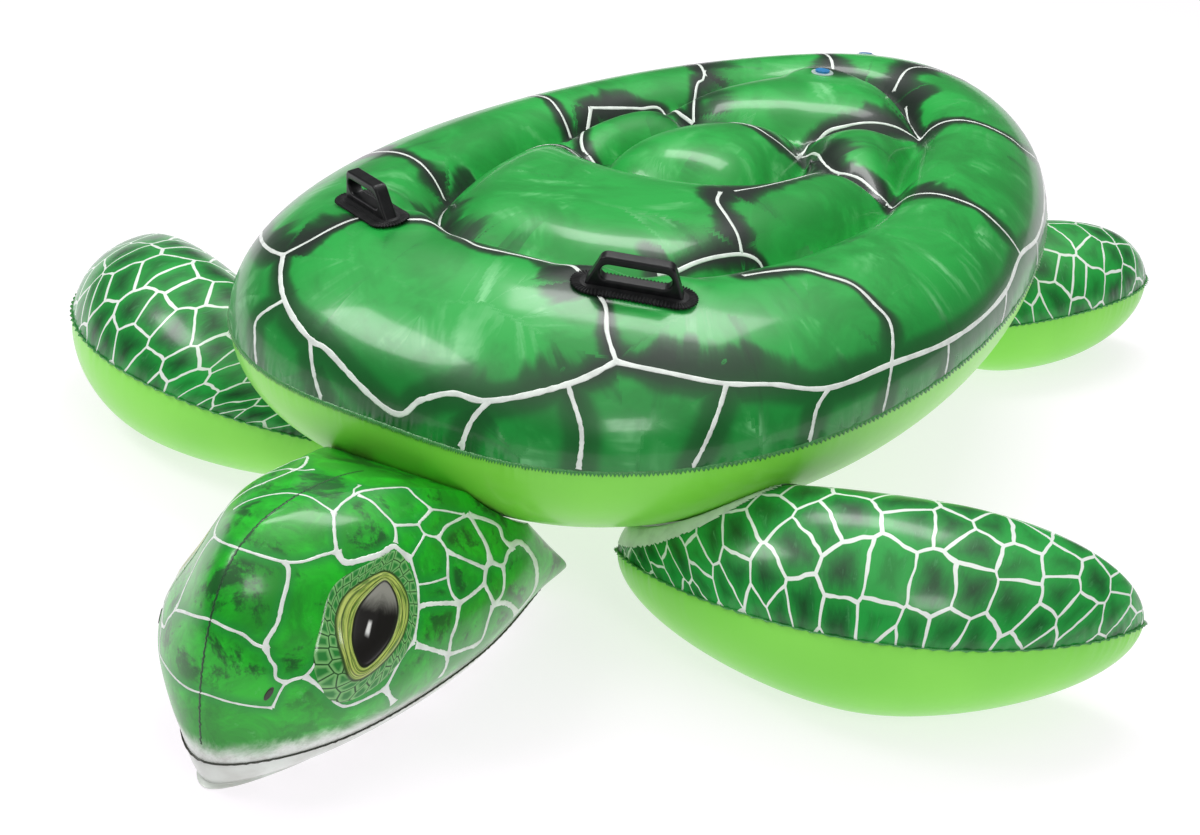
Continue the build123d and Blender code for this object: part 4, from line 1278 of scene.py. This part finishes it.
# ---- floor, lights and camera ------------------------------------------------------------------------
FLOOR_HALF = 9.0
floor = make_mesh("floor", [(-FLOOR_HALF, -FLOOR_HALF, 0), (FLOOR_HALF, -FLOOR_HALF, 0),
                            (FLOOR_HALF, FLOOR_HALF, 0), (-FLOOR_HALF, FLOOR_HALF, 0)], [(0, 1, 2, 3)])
floor_paint = Paint("floor", 0.6)
floor_paint.colour(floor_paint.mix(floor_paint.noise(floor_paint.place(), 2.0), (0.37, 0.325, 0.375),
                                   (0.38, 0.335, 0.385)))
floor_paint.settle({"Emission Color": (1.0, 1.0, 1.0, 1.0), "Emission Strength": 0.70,
                    "Specular IOR Level": 0.0})
floor.data.materials.append(floor_paint.material)
floor.location.z = -0.0005

# height of the sky above which it brightens, where it is brightest, and its strength at both
CEILING = (0.34, 0.97, 0.12, 1.05)
world = bpy.data.worlds.new("studio")
world.use_nodes = True
sky_nodes, sky_links = world.node_tree.nodes, world.node_tree.links
upward = sky_nodes.new("ShaderNodeSeparateXYZ")
sky_links.new(sky_nodes.new("ShaderNodeTexCoord").outputs["Generated"], upward.inputs[0])
ceiling = sky_nodes.new("ShaderNodeMapRange")
ceiling.interpolation_type = "SMOOTHSTEP"
for socket, value in zip(("From Min", "From Max", "To Min", "To Max"), CEILING):
    ceiling.inputs[socket].default_value = value
sky_links.new(upward.outputs["Z"], ceiling.inputs["Value"])
sky_links.new(ceiling.outputs[0], sky_nodes["Background"].inputs["Strength"])
sky_nodes["Background"].inputs["Color"].default_value = (1.0, 1.0, 1.0, 1.0)
bpy.context.scene.world = world
bpy.context.scene.view_settings.view_transform = "Standard"


def soft_light(name, place, aim, size, power):
    """A rectangular soft light at place, facing aim."""
    light = bpy.data.lights.new(name, "AREA")
    light.shape = "RECTANGLE"
    light.size, light.size_y = size
    light.energy = power
    lamp = bpy.data.objects.new(name, light)
    lamp.location = place
    lamp.rotation_euler = (Vector(aim) - Vector(place)).to_track_quat("-Z", "Y").to_euler()
    bpy.context.scene.collection.objects.link(lamp)


soft_light("overhead", (-0.2, 0.9, 2.3), (0, 0.2, 0.2), (1.8, 0.7), 30)
soft_light("key", (-1.5, -1.3, 2.2), (0, -0.1, 0.1), (1.0, 0.7), 22)
soft_light("fill", (2.2, -1.9, 2.0), (0, -0.2, 0.1), (0.9, 0.7), 16)

CAMERA_TARGET = Vector((0, -0.148, 0.165))
CAMERA_DISTANCE, AZIMUTH, ELEVATION, ROLL = 2.5390, radians(32.24), radians(25.954), radians(3.255)
away = Vector((sin(AZIMUTH) * cos(ELEVATION), -cos(AZIMUTH) * cos(ELEVATION), sin(ELEVATION)))
camera_data = bpy.data.cameras.new("camera")
camera_data.lens, camera_data.sensor_width = 66.59, 36.0
camera_data.shift_x, camera_data.shift_y = 0.0296, -0.0322
camera = bpy.data.objects.new("camera", camera_data)
level_pose = (-away).to_track_quat("-Z", "Y").to_matrix().to_4x4()
camera.matrix_world = (Matrix.Translation(CAMERA_TARGET + away * CAMERA_DISTANCE) @ level_pose
                       @ Matrix.Rotation(ROLL, 4, "Z"))
bpy.context.scene.collection.objects.link(camera)
bpy.context.scene.camera = camera
